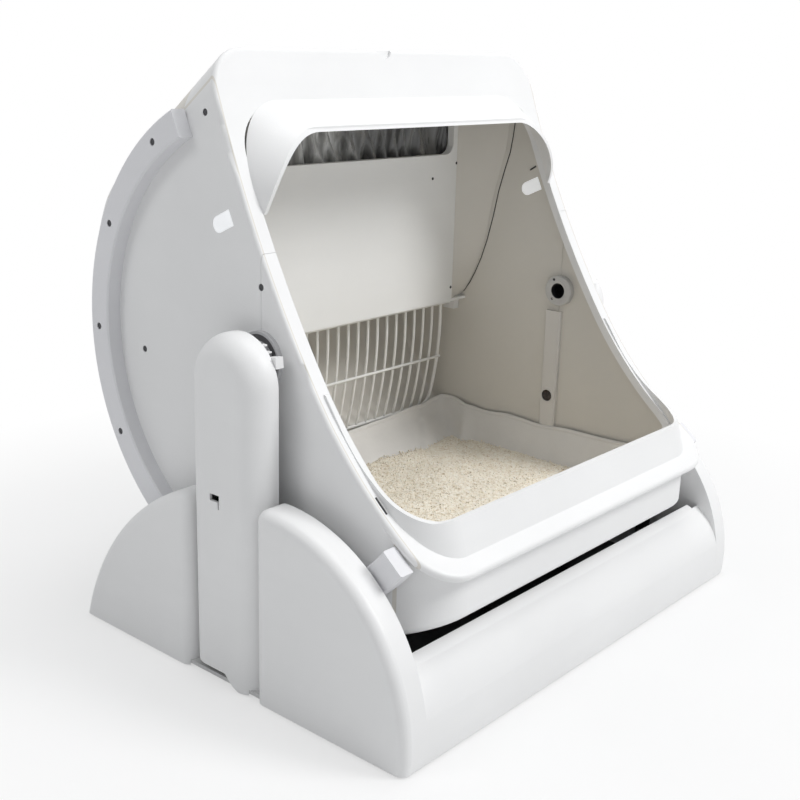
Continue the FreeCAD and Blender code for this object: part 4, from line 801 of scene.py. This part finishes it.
def bag_depth(z):
    """How far back the bag reaches at a height, within the drum's round wall."""
    reach = BAG_RADIUS ** 2 - (z - AXIS_HEIGHT) ** 2
    return min(BAG_BACK, math.sqrt(max(reach, 150 ** 2)))


def bag_ring(z, grow, inset=0.0):
    """One level of the bag, pleated round its whole outline and most of all across the window."""
    half_x = BAG_HALF * grow - inset
    low_y = BAG_FRONT + inset
    high_y = BAG_FRONT + (bag_depth(z) - BAG_FRONT) * grow - inset
    corners = [(-half_x, low_y), (half_x, low_y), (half_x, high_y), (-half_x, high_y)]
    points = []
    for side, (count, away, deep) in enumerate(BAG_SIDES):
        start, end = corners[side], corners[(side + 1) % 4]
        for i in range(count):
            x, y = (a + (b - a) * i / count for a, b in zip(start, end))
            depth = deep * (fold(x + y * 1.3, z) - 1)
            points.append(at(x + away[0] * depth, y + away[1] * depth, z))
    return points


def bag_mesh():
    """The film's outer skin up to its open mouth, and its inner skin down again."""
    steps = 60
    levels = []
    for k in range(steps + 1):
        rise = (BAG_HIGH - BAG_LOW) * k / steps
        levels.append((BAG_LOW + rise, min(1, 0.75 + rise / BAG_SWELL)))
    rows = [bag_ring(level, grow) for level, grow in levels]
    rows += [bag_ring(level + FILM_THICK, grow, FILM_THICK) for level, grow in reversed(levels)]
    return capped("bag_sheet", rows)


bag = piece("bag_sheet", bag_mesh(), "bag_film", "drum", ["waste_bag"])

# Light: three soft lamps, each with its place, size and power, and a sky that the camera sees as white

LAMPS = {
    "key": ((1.3, -2.4, 2.7), 1.4, 66),
    "left": ((-2.3, 1.0, 2.2), 1.3, 13),
    "top": ((0.4, -0.2, 3.0), 1.6, 24),
}
LAMP_AIM = Vector((0, 0, 0.25))
SKY_TINT = (0.96, 0.98, 1.0, 1)
SKY_STRENGTH = 0.42


def add_lamps():
    for name, (place, size, power) in LAMPS.items():
        lamp = bpy.data.lights.new(name, "AREA")
        lamp.shape = "DISK"
        lamp.size = size
        lamp.energy = power
        holder = add_object(name, lamp)
        holder.location = place
        holder.rotation_euler = (LAMP_AIM - Vector(place)).to_track_quat("-Z", "Y").to_euler()


def add_sky():
    """Dim light on the object, and plain white for the camera, mirror and glass rays."""
    world = bpy.data.worlds.new("studio")
    bpy.context.scene.world = world
    world.use_nodes = True
    tree = world.node_tree
    rays = tree.nodes.new("ShaderNodeLightPath").outputs
    ambient = tree.nodes["Background"]
    ambient.inputs["Color"].default_value = SKY_TINT
    ambient.inputs["Strength"].default_value = SKY_STRENGTH
    seen = tree.nodes.new("ShaderNodeBackground")
    seen.inputs["Color"].default_value = (1, 1, 1, 1)
    most = rays["Is Camera Ray"]
    for ray in ("Is Glossy Ray", "Is Transmission Ray"):
        larger = tree.nodes.new("ShaderNodeMath")
        larger.operation = "MAXIMUM"
        tree.links.new(most, larger.inputs[0])
        tree.links.new(rays[ray], larger.inputs[1])
        most = larger.outputs[0]
    mixed = tree.nodes.new("ShaderNodeMixShader")
    tree.links.new(most, mixed.inputs["Fac"])
    tree.links.new(ambient.outputs[0], mixed.inputs[1])
    tree.links.new(seen.outputs[0], mixed.inputs[2])
    tree.links.new(mixed.outputs[0], tree.nodes["World Output"].inputs["Surface"])


add_lamps()
add_sky()

# Floor: pale and matt where the shadow falls, and running out into white beyond it

FLOOR_RADIUS = 9
FADE_FROM, FADE_TO = 0.35, 0.85


def floor_finish():
    graph = Graph("studio_floor")
    graph.set(Roughness=0.9)
    graph.finish(graph.ramp(graph.noise(3), [(0.3, (0.80, 0.80, 0.80)), (0.7, (0.84, 0.84, 0.84))]))
    rays = graph.add("ShaderNodeLightPath")
    glow = graph.add("ShaderNodeEmission", Strength=1.0)
    blend = graph.add("ShaderNodeMixShader")
    distance = graph.vector("LENGTH", graph.coords, output="Value")
    far = graph.span(distance, 0.55, 1.0, FADE_FROM, FADE_TO)
    graph.link(graph.both(rays.outputs["Is Camera Ray"], far), blend.inputs["Fac"])
    graph.link(graph.shader.outputs[0], blend.inputs[1])
    graph.link(glow.outputs[0], blend.inputs[2])
    graph.link(blend.outputs[0], graph.output.inputs["Surface"])
    return graph.material


def floor_mesh():
    form = bmesh.new()
    bmesh.ops.create_circle(form, cap_ends=True, segments=96, radius=FLOOR_RADIUS)
    mesh = bpy.data.meshes.new("studio_floor")
    form.to_mesh(mesh)
    form.free()
    mesh.materials.append(floor_finish())
    return mesh


floor = add_object("studio_floor", floor_mesh())

# Camera, at the photograph's place and angle

CAMERA_PLACE = (-0.983674, -0.817895, 0.603804)
AZIMUTH, ELEVATION, ROLL = (math.radians(angle) for angle in (-49.4228, 16.4186, 1.627))
FOCAL_LENGTH = 53.838
SENSOR_WIDTH = 36


def camera_matrix():
    level = math.cos(ELEVATION)
    back = Vector((math.sin(AZIMUTH) * level, -math.cos(AZIMUTH) * level, math.sin(ELEVATION)))
    flat = Vector((0, 0, 1)).cross(back).normalized()
    rise = back.cross(flat)
    right = math.cos(ROLL) * flat + math.sin(ROLL) * rise
    up = math.cos(ROLL) * rise - math.sin(ROLL) * flat
    return Matrix.Translation(CAMERA_PLACE) @ Matrix((right, up, back)).transposed().to_4x4()


camera_data = bpy.data.cameras.new("camera")
camera_data.lens = FOCAL_LENGTH
camera_data.sensor_width = SENSOR_WIDTH
camera_data.clip_end = 50
camera = add_object("camera", camera_data)
camera.matrix_world = camera_matrix()
bpy.context.scene.camera = camera
bpy.context.scene.view_settings.view_transform = "Standard"
